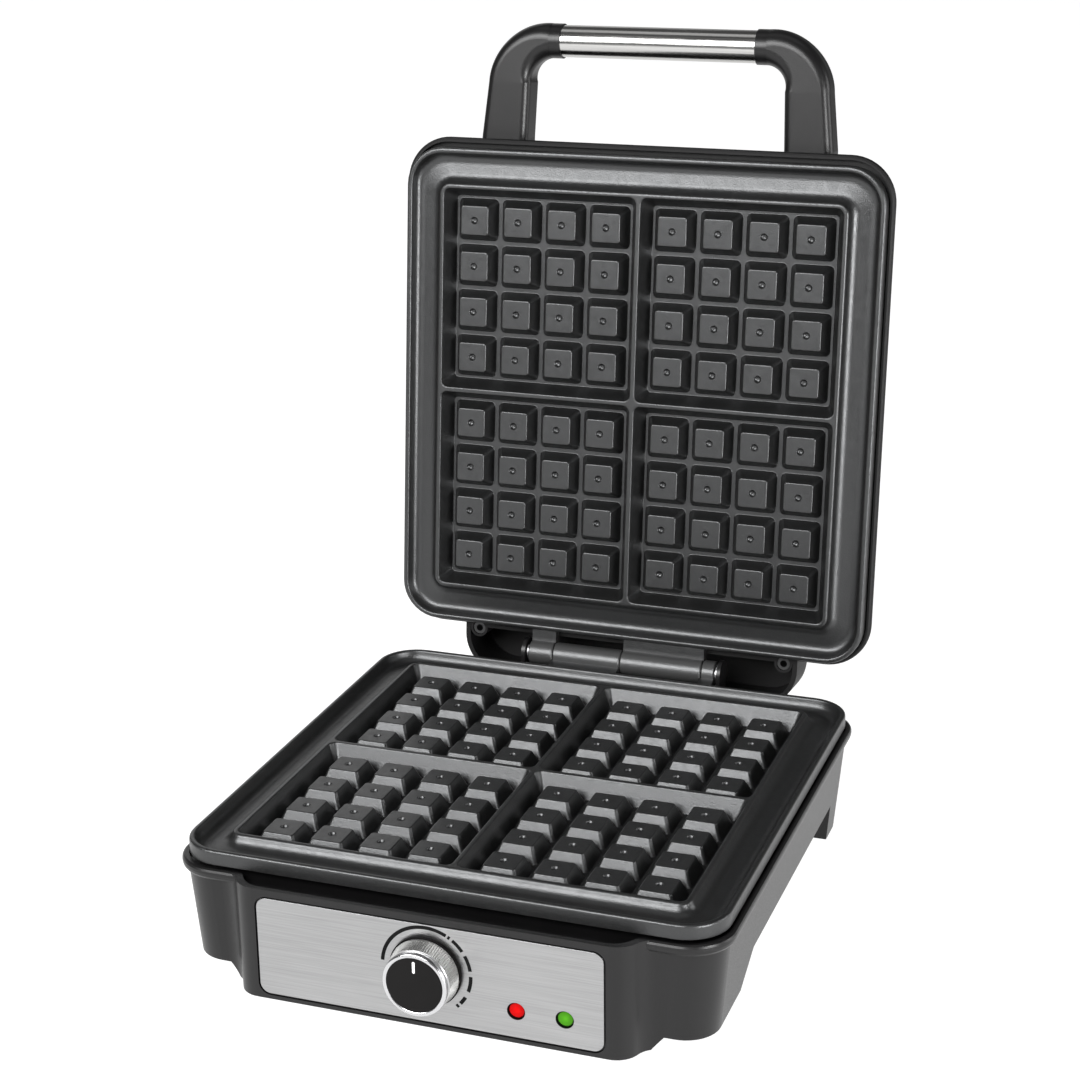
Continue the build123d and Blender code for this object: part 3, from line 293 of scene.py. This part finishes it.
def join_rings(mesh, first, second):
    """Quads between two rings of equal count."""
    count = len(first)
    for i in range(count):
        mesh.faces.new((first[i], first[(i + 1) % count], second[(i + 1) % count], second[i]))


def stack_rings(mesh, rings):
    """Joins rings of points one after another; returns the first and last rings of vertices."""
    made = [add_ring(mesh, ring) for ring in rings]
    for first, second in zip(made, made[1:]):
        join_rings(mesh, first, second)
    return made[0], made[-1]


def ring_edges(mesh, ring):
    pairs = [(ring[i], ring[(i + 1) % len(ring)]) for i in range(len(ring))]
    return [mesh.edges.get(pair) or mesh.edges.new(pair) for pair in pairs]


def fill_between(mesh, rings):
    """A flat fill bounded by the first ring, with the others as holes."""
    edges = [edge for ring in rings for edge in ring_edges(mesh, ring)]
    bmesh.ops.triangle_fill(mesh, use_beauty=True, use_dissolve=False, edges=edges)


def finish_mesh(mesh, name, place):
    """Turns a bmesh into a shaded object in the row frame."""
    bmesh.ops.recalc_face_normals(mesh, faces=mesh.faces[:])
    data = bpy.data.meshes.new(name)
    mesh.to_mesh(data)
    mesh.free()
    data.transform(place)
    for polygon in data.polygons:
        polygon.use_smooth = True
    data.set_sharp_from_angle(angle=SMOOTH_ANGLE)
    made = bpy.data.objects.new(name, data)
    bpy.context.scene.collection.objects.link(made)
    even = made.modifiers.new("flat_faces", "WEIGHTED_NORMAL")
    even.keep_sharp = True
    return made


def plate_corner(half):
    """Corner radius of the plate's outline at a distance from its centre."""
    if half <= GUTTER_INNER:
        return RIDGE_CORNER - (GUTTER_INNER - half)
    outer = PLATE_CORNER - (PLATE_HALF - GUTTER_OUTER)
    if half < GUTTER_OUTER:
        share = (half - GUTTER_INNER) / (GUTTER_OUTER - GUTTER_INNER)
        return RIDGE_CORNER + (outer - RIDGE_CORNER) * share
    return PLATE_CORNER - (PLATE_HALF - half)


def add_block(mesh, centre):
    """One raised block with soft edges and a dimple; returns the ring round its foot."""
    outline = soften([(BLOCK_FOOT + FLOOR_EDGE, -BLOCK_HEIGHT, 0), (BLOCK_FOOT, -BLOCK_HEIGHT, FLOOR_EDGE),
                      (BLOCK_TOP, 0, BLOCK_EDGE), (DIMPLE[0][0], 0, 0)], EDGE_STEPS)[1:]
    rings = []
    for half, z in outline[:-1]:
        share = (half - BLOCK_TOP) / (BLOCK_FOOT - BLOCK_TOP)
        corner = BLOCK_TOP_CORNER + (BLOCK_FOOT_CORNER - BLOCK_TOP_CORNER) * share
        rings.append(square_ring(half, corner, z, BLOCK_CORNER_STEPS, centre))
    rings += [round_ring(radius, z, len(rings[0]), centre) for radius, z in DIMPLE]
    foot, floor = stack_rings(mesh, rings)
    mesh.faces.new(floor)
    return foot


def add_pocket(mesh, centre):
    """A pocket's wall, floor and blocks; returns the ring round its mouth."""
    outline = soften([(POCKET_MOUTH + POCKET_EDGE, RIDGE_RISE, 0), (POCKET_MOUTH, RIDGE_RISE, POCKET_EDGE),
                      (POCKET_FLOOR, -BLOCK_HEIGHT, FLOOR_EDGE),
                      (POCKET_FLOOR - FLOOR_EDGE, -BLOCK_HEIGHT, 0)], EDGE_STEPS)[:-1]
    rings = []
    for half, z in outline:
        share = (half - POCKET_FLOOR) / (POCKET_MOUTH - POCKET_FLOOR)
        corner = POCKET_FLOOR_CORNER + (POCKET_MOUTH_CORNER - POCKET_FLOOR_CORNER) * share
        rings.append(square_ring(half, corner, z, POCKET_CORNER_STEPS, centre))
    mouth, floor = stack_rings(mesh, rings)
    first = -(BLOCK_ROWS - 1) / 2 * BLOCK_PITCH
    places = [first + i * BLOCK_PITCH for i in range(BLOCK_ROWS)]
    feet = [add_block(mesh, (centre[0] + x, centre[1] + y)) for x in places for y in places]
    fill_between(mesh, [floor] + feet)
    return mouth


def add_knuckle(mesh, x_left, x_right, axis_z):
    """A hinge barrel with the web that joins it to the plate's edge, bored for the pin."""
    root = PLATE_HALF - WEB_SINK
    web_top = RIDGE_RISE - WEB_DROP
    outline = [(root, SKIRT_Z + WEB_LIFT), (root, web_top)]
    start = math.pi + math.atan2(axis_z - web_top, HINGE_Y - root)
    for step in range(BARREL_STEPS + 1):
        angle = start - (start + math.pi / 2) * step / BARREL_STEPS
        outline.append((HINGE_Y + KNUCKLE_R * math.cos(angle), axis_z + KNUCKLE_R * math.sin(angle)))
    turns = [2 * math.pi * step / BARREL_STEPS for step in range(BARREL_STEPS)]
    bore = [(HINGE_Y + BORE_R * math.cos(turn), axis_z + BORE_R * math.sin(turn)) for turn in turns]
    middle = Vector((HINGE_Y, axis_z))

    def inset(point, distance):
        away = Vector(point) - middle
        return middle + away * (1 - distance / max(away.length, 1))

    spans = ((x_left, KNUCKLE_BEVEL), (x_left + KNUCKLE_BEVEL, 0), (x_right - KNUCKLE_BEVEL, 0),
             (x_right, KNUCKLE_BEVEL))
    rings = [[(x, *inset(point, step)) for point in outline] for x, step in spans]
    left, right = stack_rings(mesh, rings)
    bore_left, bore_right = stack_rings(mesh, [[(x, *point) for point in bore] for x in (x_left, x_right)])
    fill_between(mesh, [left, bore_left])
    fill_between(mesh, [right, bore_right])


def waffle_plate(name, place, first, sign, axis_z):
    """The whole casting; first and sign pick this plate's barrels along the hinge, at axis_z."""
    mesh = bmesh.new()
    outline = soften([(RIDGE_HALF - RIDGE_FLAT, RIDGE_RISE, 0), (RIDGE_HALF, RIDGE_RISE, RIDGE_CREST),
                      (GUTTER_INNER, GUTTER_INNER_Z, RIDGE_SWEEP),
                      (GUTTER_OUTER, GUTTER_OUTER_Z, GUTTER_ROUND),
                      (BEAD_INNER, RIDGE_RISE, BEAD_INNER_EDGE), (PLATE_HALF, RIDGE_RISE, BEAD_OUTER_EDGE),
                      (PLATE_HALF, SKIRT_Z, SKIRT_EDGE), (PAN_HALF, SKIRT_Z, 0),
                      (PAN_HALF - PAN_DRAFT, PAN_Z, 0)], SECTION_STEPS)
    rings = [square_ring(half, plate_corner(half), z, PLATE_CORNER_STEPS) for half, z in outline]
    ridge, bottom = stack_rings(mesh, rings)
    mesh.faces.new(bottom)
    mouths = [add_pocket(mesh, (x * POCKET_CENTRE, y * POCKET_CENTRE)) for x in (-1, 1) for y in (-1, 1)]
    fill_between(mesh, [ridge] + mouths)
    for left, right in list(zip(KNUCKLE_EDGES, KNUCKLE_EDGES[1:]))[first::2]:
        ends = sorted((sign * left, sign * right))
        add_knuckle(mesh, ends[0] + KNUCKLE_GAP / 2, ends[1] - KNUCKLE_GAP / 2, axis_z)
    return finish_mesh(mesh, name, place)


def turned_piece(name, profile, count, teeth=()):
    """A knob piece turned from (radius, out) points; teeth lists the rings that are cut fine."""
    mesh = bmesh.new()
    turns = [2 * math.pi * step / count for step in range(count)]
    rings = []
    for i, (radius, out) in enumerate(profile):
        depth = KNURL_DEPTH if i in teeth else 0
        reaches = [radius - depth * (step % 2) for step in range(count)]
        rings.append([(reach * math.cos(turn), reach * math.sin(turn), out)
                      for reach, turn in zip(reaches, turns)])
    front, back = stack_rings(mesh, rings)
    mesh.faces.new(front)
    mesh.faces.new(back)
    return finish_mesh(mesh, name, KNOB)


def pointer_bar():
    """The white bar near the knob face's edge, with round ends."""
    mesh = bmesh.new()
    half = POINTER_WIDTH / 2
    outline = []
    for end, start in ((POINTER_OUT - half, 0), (POINTER_IN + half, math.pi)):
        for step in range(POINTER_END_STEPS + 1):
            angle = start + math.pi * step / POINTER_END_STEPS
            outline.append((half * math.cos(angle), end + half * math.sin(angle)))
    heights = (FACE_OUT - POINTER_SINK, FACE_OUT + POINTER_PROUD)
    low, high = stack_rings(mesh, [[(x, y, out) for x, y in outline] for out in heights])
    mesh.faces.new(low)
    mesh.faces.new(high)
    return finish_mesh(mesh, "knob_pointer_bar", KNOB)


# Shader nodes
def new_material(name, colour, roughness, metallic=0.0):
    made = bpy.data.materials.new(name)
    made.use_nodes = True
    shader = shader_of(made)
    shader.inputs["Base Color"].default_value = (*colour, 1)
    shader.inputs["Roughness"].default_value = roughness
    shader.inputs["Metallic"].default_value = metallic
    return made, made.node_tree, shader


def shader_of(made):
    return made.node_tree.nodes["Principled BSDF"]


def add_node(tree, kind, **values):
    """A node with these values on its inputs or, where it has no such input, its settings."""
    node = tree.nodes.new(kind)
    for key, value in values.items():
        if key in node.inputs:
            node.inputs[key].default_value = value
        else:
            setattr(node, key, value)
    return node


def feed(tree, value, socket):
    """Links an output to a socket, or sets the socket to a plain value."""
    if isinstance(value, bpy.types.NodeSocket):
        tree.links.new(value, socket)
    else:
        socket.default_value = value


def object_coords(tree, stretch=(1, 1, 1)):
    """Object coordinates in metres, scaled along each axis."""
    coords = add_node(tree, "ShaderNodeTexCoord")
    mapping = add_node(tree, "ShaderNodeMapping", Scale=stretch)
    tree.links.new(coords.outputs["Object"], mapping.inputs["Vector"])
    return mapping.outputs["Vector"]


def compute(tree, operation, *values):
    node = add_node(tree, "ShaderNodeMath", operation=operation)
    for value, socket in zip(values, node.inputs):
        feed(tree, value, socket)
    return node.outputs[0]


def vector_math(tree, operation, *values):
    node = add_node(tree, "ShaderNodeVectorMath", operation=operation)
    for value, socket in zip(values, node.inputs):
        feed(tree, value, socket)
    return node.outputs["Value" if operation in ("LENGTH", "DOT_PRODUCT") else "Vector"]


def distance_from(tree, coords, point, stretch):
    """Distance from a point with each axis stretched first, where 0 leaves an axis out."""
    offset = vector_math(tree, "SUBTRACT", coords, point)
    return vector_math(tree, "LENGTH", vector_math(tree, "MULTIPLY", offset, stretch))


def axis_of(tree, coords, axis):
    axes = add_node(tree, "ShaderNodeSeparateXYZ")
    tree.links.new(coords, axes.inputs[0])
    return axes.outputs[axis]


def map_range(tree, value, start, end, first=0.0, last=1.0, **settings):
    """Turns start to end into first to last, and goes no further."""
    node = add_node(tree, "ShaderNodeMapRange", **settings)
    for key, number in (("From Min", start), ("From Max", end), ("To Min", first), ("To Max", last)):
        node.inputs[key].default_value = number
    tree.links.new(value, node.inputs["Value"])
    return node.outputs[0]


def blend(tree, share, first, second):
    """A colour between the first and the second."""
    node = add_node(tree, "ShaderNodeMix", data_type="RGBA")
    for place, value in ((MIX_SHARE, share), (MIX_FIRST, first), (MIX_SECOND, second)):
        feed(tree, value, node.inputs[place])
    return node.outputs[MIX_RESULT]


def noise(tree, coords, scale, detail=4.0, roughness=0.5):
    texture = add_node(tree, "ShaderNodeTexNoise", Scale=scale, Detail=detail, Roughness=roughness)
    tree.links.new(coords, texture.inputs["Vector"])
    return texture.outputs["Fac"]


def ramp(tree, value, stops):
    """A colour ramp of (place, grey or colour) stops."""
    node = add_node(tree, "ShaderNodeValToRGB")
    while len(node.color_ramp.elements) < len(stops):
        node.color_ramp.elements.new(0.5)
    for element, (place, colour) in zip(node.color_ramp.elements, stops):
        element.position = place
        element.color = (*colour, 1) if isinstance(colour, tuple) else (colour, colour, colour, 1)
    tree.links.new(value, node.inputs["Fac"])
    return node.outputs["Color"]


def bump(tree, shader, height, strength, distance):
    node = add_node(tree, "ShaderNodeBump", Strength=strength, Distance=distance)
    tree.links.new(height, node.inputs["Height"])
    tree.links.new(node.outputs["Normal"], shader.inputs["Normal"])


def scaled(colour, factor):
    return tuple(min(1.0, channel * factor) for channel in colour)


# Looks
def nonstick():
    """Dark satin coating with fine pale flecks, paler on the hinge barrels."""
    made, tree, shader = new_material("nonstick_plate", COAT, COAT_ROUGHNESS)
    shader.inputs["Specular IOR Level"].default_value = COAT_SHINE
    shader.inputs["Specular Tint"].default_value = COAT_SHEEN
    coords = object_coords(tree)
    flecks = add_node(tree, "ShaderNodeTexVoronoi", Scale=FLECK_SCALE)
    tree.links.new(coords, flecks.inputs["Vector"])
    spots = ramp(tree, flecks.outputs["Distance"], FLECK_TONES)
    from_hinge = distance_from(tree, coords, hinge, (0, 1, 1))
    on_barrel = map_range(tree, from_hinge, BARREL_LOOK_END * MM, BARREL_LOOK_FULL * MM)
    tree.links.new(blend(tree, on_barrel, spots, BARREL_COAT), shader.inputs["Base Color"])
    patches = ((0.3, COAT_ROUGHNESS - COAT_UNEVEN), (0.7, COAT_ROUGHNESS + COAT_UNEVEN))
    tree.links.new(ramp(tree, noise(tree, coords, COAT_PATCHES), patches), shader.inputs["Roughness"])
    bump(tree, shader, noise(tree, coords, COAT_PEBBLES, GRAIN_DETAIL), COAT_RELIEF, COAT_RELIEF_DEPTH)
    return made


def moulded(name, colour, roughness, shine=PLAIN_SHINE):
    """Moulded plastic with slow changes of tone and a fine grain."""
    made, tree, shader = new_material(name, colour, roughness)
    shader.inputs["Specular IOR Level"].default_value = shine
    coords = object_coords(tree)
    clouds = noise(tree, coords, CLOUD_SCALE)
    tree.links.new(ramp(tree, clouds, ((0.35, colour), (0.75, scaled(colour, CLOUD_PALER)))),
                   shader.inputs["Base Color"])
    grain = noise(tree, coords, GRAIN_SCALE, GRAIN_DETAIL)
    tree.links.new(ramp(tree, grain, ((0.3, roughness - 0.05), (0.7, roughness + 0.06))),
                   shader.inputs["Roughness"])
    bump(tree, shader, grain, GRAIN_RELIEF, GRAIN_RELIEF_DEPTH)
    return made


def grain_lid(made):
    """Turns a glossy plastic matte on the lid's outer side, from the rim on."""
    tree = made.node_tree
    shader = shader_of(made)
    outwards = -(UPPER.to_3x3() @ Vector((0, 0, 1))).normalized()
    offset = vector_math(tree, "SUBTRACT", object_coords(tree), hinge)
    from_rim = vector_math(tree, "DOT_PRODUCT", offset, outwards)
    share = map_range(tree, from_rim, LID_GRAIN_FROM * MM, LID_GRAIN_TO * MM)
    smooth = shader.inputs["Roughness"].links[0].from_socket
    rough = compute(tree, "MULTIPLY_ADD", share, LID_GRAIN_ROUGHER, smooth)
    tree.links.new(rough, shader.inputs["Roughness"])
    shine = shader.inputs["Specular IOR Level"]
    tree.links.new(map_range(tree, share, 0.0, 1.0, shine.default_value, LID_GRAIN_SHINE), shine)
    return made


def painted_socket_screw(name, colour, node):
    """Blackened screw head with painted shade in its middle where a socket's hollow would be dark; the node holds
    one at each side of the middle plane.
    """
    made, tree, shader = new_material(name, colour, 0.4, 1.0)
    low, high = (Vector(corner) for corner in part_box(node))
    head = SCREW_HEAD_R * MM
    folded = vector_math(tree, "ABSOLUTE", object_coords(tree))
    middle = (high.x - head, 0, (low.z + high.z) / 2)
    radius = distance_from(tree, folded, middle, (1 / head, 0, 1 / head))
    # Painted shade in the middle of the head, where a socket's hollow would be
    stops = zip(SOCKET_EDGE, (scaled(colour, SOCKET_SHADE), colour))
    tree.links.new(ramp(tree, radius, tuple(stops)), shader.inputs["Base Color"])
    return made


def metal(name, colour, roughness, stretch, scale=CAST_SCALE, relief=METAL_RELIEF):
    """Metal with fine lines along the axis that stretch leaves smallest."""
    made, tree, shader = new_material(name, colour, roughness, 1.0)
    lines = noise(tree, object_coords(tree, stretch), scale, METAL_DETAIL, METAL_NOISE)
    tones = ((0.3, scaled(colour, METAL_DARKER)), (0.7, scaled(colour, METAL_PALER)))
    tree.links.new(ramp(tree, lines, tones), shader.inputs["Base Color"])
    tree.links.new(ramp(tree, lines, ((0.25, roughness - 0.06), (0.75, roughness + 0.08))),
                   shader.inputs["Roughness"])
    bump(tree, shader, lines, relief, METAL_RELIEF_DEPTH)
    return made


def printed_panel(made):
    """Prints the dial's scale in black over a metal panel, and paints shade on the panel's cut edges and hole
    walls, the faces that turn away from the front.
    """
    tree = made.node_tree
    shader = shader_of(made)
    offset = vector_math(tree, "SUBTRACT", object_coords(tree), knob_axis)
    flat = vector_math(tree, "MULTIPLY", offset, (1 / MM, 0, 1 / MM))
    radius = vector_math(tree, "LENGTH", flat)
    angle = compute(tree, "ARCTAN2", axis_of(tree, flat, "X"), axis_of(tree, flat, "Z"))
    turn = compute(tree, "MULTIPLY", angle, math.degrees(1))
    marks = 0.0
    for start, end in SCALE_ARCS:
        mark = compute(tree, "COMPARE", turn, (start + end) / 2, (end - start) / 2)
        marks = compute(tree, "ADD", marks, mark)
    ink = compute(tree, "MULTIPLY", marks, compute(tree, "COMPARE", radius, SCALE_R, SCALE_WIDTH / 2))
    # Painted shade: faces turned away from the front, such as hole walls, get a dark tone
    surface = add_node(tree, "ShaderNodeNewGeometry")
    facing = axis_of(tree, surface.outputs["True Normal"], "Y")
    edge_shade_share = map_range(tree, facing, PANEL_FACING_FRONT, PANEL_FACING_ASIDE)
    bare = blend(tree, edge_shade_share, shader.inputs["Base Color"].links[0].from_socket, PANEL_EDGE_SHADE)
    tree.links.new(blend(tree, ink, bare, SCALE_INK), shader.inputs["Base Color"])
    bare_share = compute(tree, "SUBTRACT", 1.0, ink)
    tree.links.new(bare_share, shader.inputs["Metallic"])
    tree.links.new(compute(tree, "MULTIPLY", bare_share, PLAIN_SHINE), shader.inputs["Specular IOR Level"])
    return made


def lens(name, colour, node):
    """Tinted lamp lens, lit from behind, lighter in the middle, with painted shade at its rim where the recess in
    the panel shades it.
    """
    made, tree, shader = new_material(name, colour, 0.25)
    shader.inputs["Specular IOR Level"].default_value = LENS_SHINE
    low, high = (Vector(corner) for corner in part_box(node))
    stretch = (1 / (LENS_R * MM), 0, 1 / (LENS_R * MM))
    radius = distance_from(tree, object_coords(tree), (low + high) / 2, stretch)
    deep = scaled(colour, LENS_DEEP)
    # The last stop paints the recess's shade onto the lens rim
    tint = ramp(tree, radius, ((0.0, colour), (0.5, deep), (0.76, deep), (0.86, scaled(colour, LENS_RIM_SHADE))))
    tree.links.new(tint, shader.inputs["Base Color"])
    tree.links.new(tint, shader.inputs["Emission Color"])
    shader.inputs["Emission Strength"].default_value = LENS_GLOW
    return made


def clear_glass(name, colour):
    made, tree, shader = new_material(name, colour, 0.1)
    shader.inputs["Transmission Weight"].default_value = GLASS_CLEARNESS
    waves = noise(tree, object_coords(tree), GLASS_SCALE)
    tree.links.new(ramp(tree, waves, ((0.3, 0.08), (0.7, 0.14))), shader.inputs["Roughness"])
    return made


def nearer_than(tree, out):
    """1 on the part of the knob that is nearer to the panel than this distance, 0 further out."""
    along = axis_of(tree, object_coords(tree), "Y")
    return map_range(tree, along, knob_axis.y - (out + KNOB_LOOK_BLEND) * MM,
                     knob_axis.y - (out - KNOB_LOOK_BLEND) * MM)


def knurled_chrome(name, colour, matte):
    """Polished chrome that turns matte on the knurled band next to the panel."""
    made, tree, shader = new_material(name, colour, 0.1, 1.0)
    band = nearer_than(tree, KNURL_END)
    tree.links.new(ramp(tree, band, ((0.0, colour), (1.0, matte))), shader.inputs["Base Color"])
    tree.links.new(ramp(tree, band, ((0.0, RIM_ROUGHNESS), (1.0, KNURL_ROUGHNESS))),
                   shader.inputs["Roughness"])
    return made


def dull_ring(made):
    """Takes the shine off the knob's ring, which is all of this look that lies near the panel."""
    tree = made.node_tree
    shine = ramp(tree, nearer_than(tree, KNOB_RING_OUT), ((0.0, FACE_SHINE), (1.0, RING_SHINE)))
    tree.links.new(shine, shader_of(made).inputs["Specular IOR Level"])
    return made


looks = {
    "black_plastic": moulded("black_plastic", BLACK, BLACK_ROUGHNESS, BLACK_SHINE),
    "cover_plastic": moulded("cover_plastic", (0.015, 0.015, 0.016), 0.5),
    "nonstick_plate": nonstick(),
    "element_steel": metal("element_steel", (0.3, 0.29, 0.28), 0.45, (1, 1, 1)),
    "sheet_metal": metal("sheet_metal", (0.72, 0.72, 0.73), 0.35, (0.05, 1, 1)),
    "screw_steel": metal("screw_steel", (0.6, 0.6, 0.61), 0.3, (1, 1, 1)),
    "dark_screw": painted_socket_screw("dark_screw", (0.14, 0.14, 0.142), "lid_ear_screws"),
    "brushed_panel": printed_panel(metal("brushed_panel", (0.395, 0.395, 0.397), 0.36, BRUSH_ALONG_X,
                                         BRUSH_SCALE)),
    "handle_steel": metal("handle_steel", (0.53, 0.525, 0.515), 0.17, BRUSH_ALONG_X, BRUSH_SCALE,
                          TUBE_RELIEF),
    "red_lens": lens("red_lens", (0.6, 0.002, 0.002), "red_lamp_lens"),
    "green_lens": lens("green_lens", (0.065, 0.29, 0.01), "green_lamp_lens"),
    "lamp_glass": clear_glass("lamp_glass", (0.9, 0.85, 0.8)),
    "ceramic_white": moulded("ceramic_white", (0.7, 0.69, 0.66), 0.6),
    "foot_rubber": moulded("foot_rubber", (0.012, 0.012, 0.012), 0.7),
    "knob_chrome": knurled_chrome("knob_chrome", (0.62, 0.62, 0.63), (0.55, 0.55, 0.54)),
    "knob_black": dull_ring(moulded("knob_black", (0.005, 0.0046, 0.0046), 0.45, FACE_SHINE)),
    "pointer_white": moulded("pointer_white", (0.8, 0.8, 0.8), 0.5),
}


def wear(piece, slot_name):
    """Gives a piece the look of one of the record's slots."""
    piece.data.materials.clear()
    piece.data.materials.append(looks[slot_name])
    return piece


for part in frame["record"]["subparts"]:
    wear(nodes[part["node"]], part["material_slot"])
lid_look = grain_lid(moulded("lid_plastic", BLACK, BLACK_ROUGHNESS, BLACK_SHINE))
nodes["lid_housing"].data.materials[0] = lid_look

# Pieces that stand in for their nodes
for name, place, first, sign, axis_z, body in (("lower_plate", LOWER, 1, 1, HINGE_Z, "base"),
                                               ("upper_plate", UPPER, 0, -1, LID_HINGE_Z, "lid")):
    plate = wear(waffle_plate(name + "_casting", place, first, sign, axis_z), "nonstick_plate")
    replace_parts(plate, name)
    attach(plate, body)

knob_pieces = {
    "knob_sleeve": (turned_piece("knob_sleeve_turned", SLEEVE, 2 * KNURL_COUNT, SLEEVE_TEETH), "knob_chrome"),
    "knob_skirt": (turned_piece("knob_skirt_ring", SKIRT, KNOB_STEPS), "knob_black"),
    "knob_face": (turned_piece("knob_face_disc", FACE, KNOB_STEPS), "knob_black"),
    "knob_pointer": (pointer_bar(), "pointer_white"),
}
for name, (piece, slot_name) in knob_pieces.items():
    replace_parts(wear(piece, slot_name), name)
    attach(piece, "knob")


# Studio
def add_camera():
    """The photo's camera, placed on the lower plate's axes."""
    data = bpy.data.cameras.new("photo_view")
    data.lens = CAMERA_LENS
    data.sensor_width = CAMERA_SENSOR
    data.shift_x, data.shift_y = CAMERA_SHIFT
    camera = bpy.data.objects.new("photo_view", data)
    camera.location = LOWER @ Vector(CAMERA_PLACE)
    camera.rotation_euler = [math.radians(angle) for angle in CAMERA_TURN]
    bpy.context.scene.collection.objects.link(camera)
    bpy.context.scene.camera = camera


def add_softbox(name, place, target, size, power):
    data = bpy.data.lights.new(name, "AREA")
    data.shape = "RECTANGLE"
    data.size, data.size_y = size
    data.energy = power
    light = bpy.data.objects.new(name, data)
    light.location = place
    light.rotation_euler = (Vector(target) - Vector(place)).to_track_quat("-Z", "Y").to_euler()
    bpy.context.scene.collection.objects.link(light)


def add_floor():
    mesh = bmesh.new()
    bmesh.ops.create_grid(mesh, x_segments=1, y_segments=1, size=FLOOR_HALF)
    data = bpy.data.meshes.new("floor")
    mesh.to_mesh(data)
    mesh.free()
    made, tree, shader = new_material("floor", FLOOR_TONE, FLOOR_ROUGHNESS)
    path = add_node(tree, "ShaderNodeLightPath")
    seen = compute(tree, "MULTIPLY", path.outputs["Is Camera Ray"], FLOOR_SEEN)
    away = vector_math(tree, "LENGTH", object_coords(tree))
    mirrored = map_range(tree, away, FLOOR_NEAR, FLOOR_FAR, FLOOR_MIRRORED, WALL_LIGHT)
    glow = compute(tree, "MULTIPLY_ADD", path.outputs["Is Glossy Ray"], mirrored, seen)
    shader.inputs["Emission Color"].default_value = WHITE
    tree.links.new(glow, shader.inputs["Emission Strength"])
    floor = bpy.data.objects.new("floor", data)
    data.materials.append(made)
    bpy.context.scene.collection.objects.link(floor)


def add_world():
    """Dim walls and ceiling with a bright patch at the back left; white where the camera sees them."""
    world = bpy.data.worlds.new("studio")
    world.use_nodes = True
    bpy.context.scene.world = world
    tree = world.node_tree
    around = add_node(tree, "ShaderNodeTexCoord").outputs["Generated"]
    dome = map_range(tree, axis_of(tree, around, "Z"), WALL_TOP, CEILING_EDGE, WALL_LIGHT, CEILING_LIGHT)
    towards = vector_math(tree, "DOT_PRODUCT", around, Vector(BACK_GLOW_TOWARDS).normalized())
    patch = map_range(tree, towards, BACK_GLOW_OUTER, BACK_GLOW_INNER, 0.0, BACK_GLOW,
                      interpolation_type="SMOOTHSTEP")
    walls = compute(tree, "MAXIMUM", dome, patch)
    path = add_node(tree, "ShaderNodeLightPath")
    seen = compute(tree, "MAXIMUM", path.outputs["Is Camera Ray"], path.outputs["Is Transmission Ray"])
    background = tree.nodes["Background"]
    background.inputs["Color"].default_value = WHITE
    tree.links.new(compute(tree, "MAXIMUM", seen, walls), background.inputs["Strength"])


add_camera()
add_floor()
add_world()
add_softbox("key", (-0.6, -1.6, 1.2), (0, 0, 0.15), (1.8, 0.9), 62.0)
add_softbox("top", (0, 0.15, 1.9), (0, 0.1, 0.3), (1.6, 0.6), 1.8)
add_softbox("right_fill", (1.6, 0.6, 0.5), (0, 0, 0.1), (0.8, 0.8), 8.0)
add_softbox("right_strip", (1.25, -0.75, 0.28), (0, 0.1, 0.25), (0.6, 0.5), 20.0)
bpy.context.scene.view_settings.view_transform = "Standard"
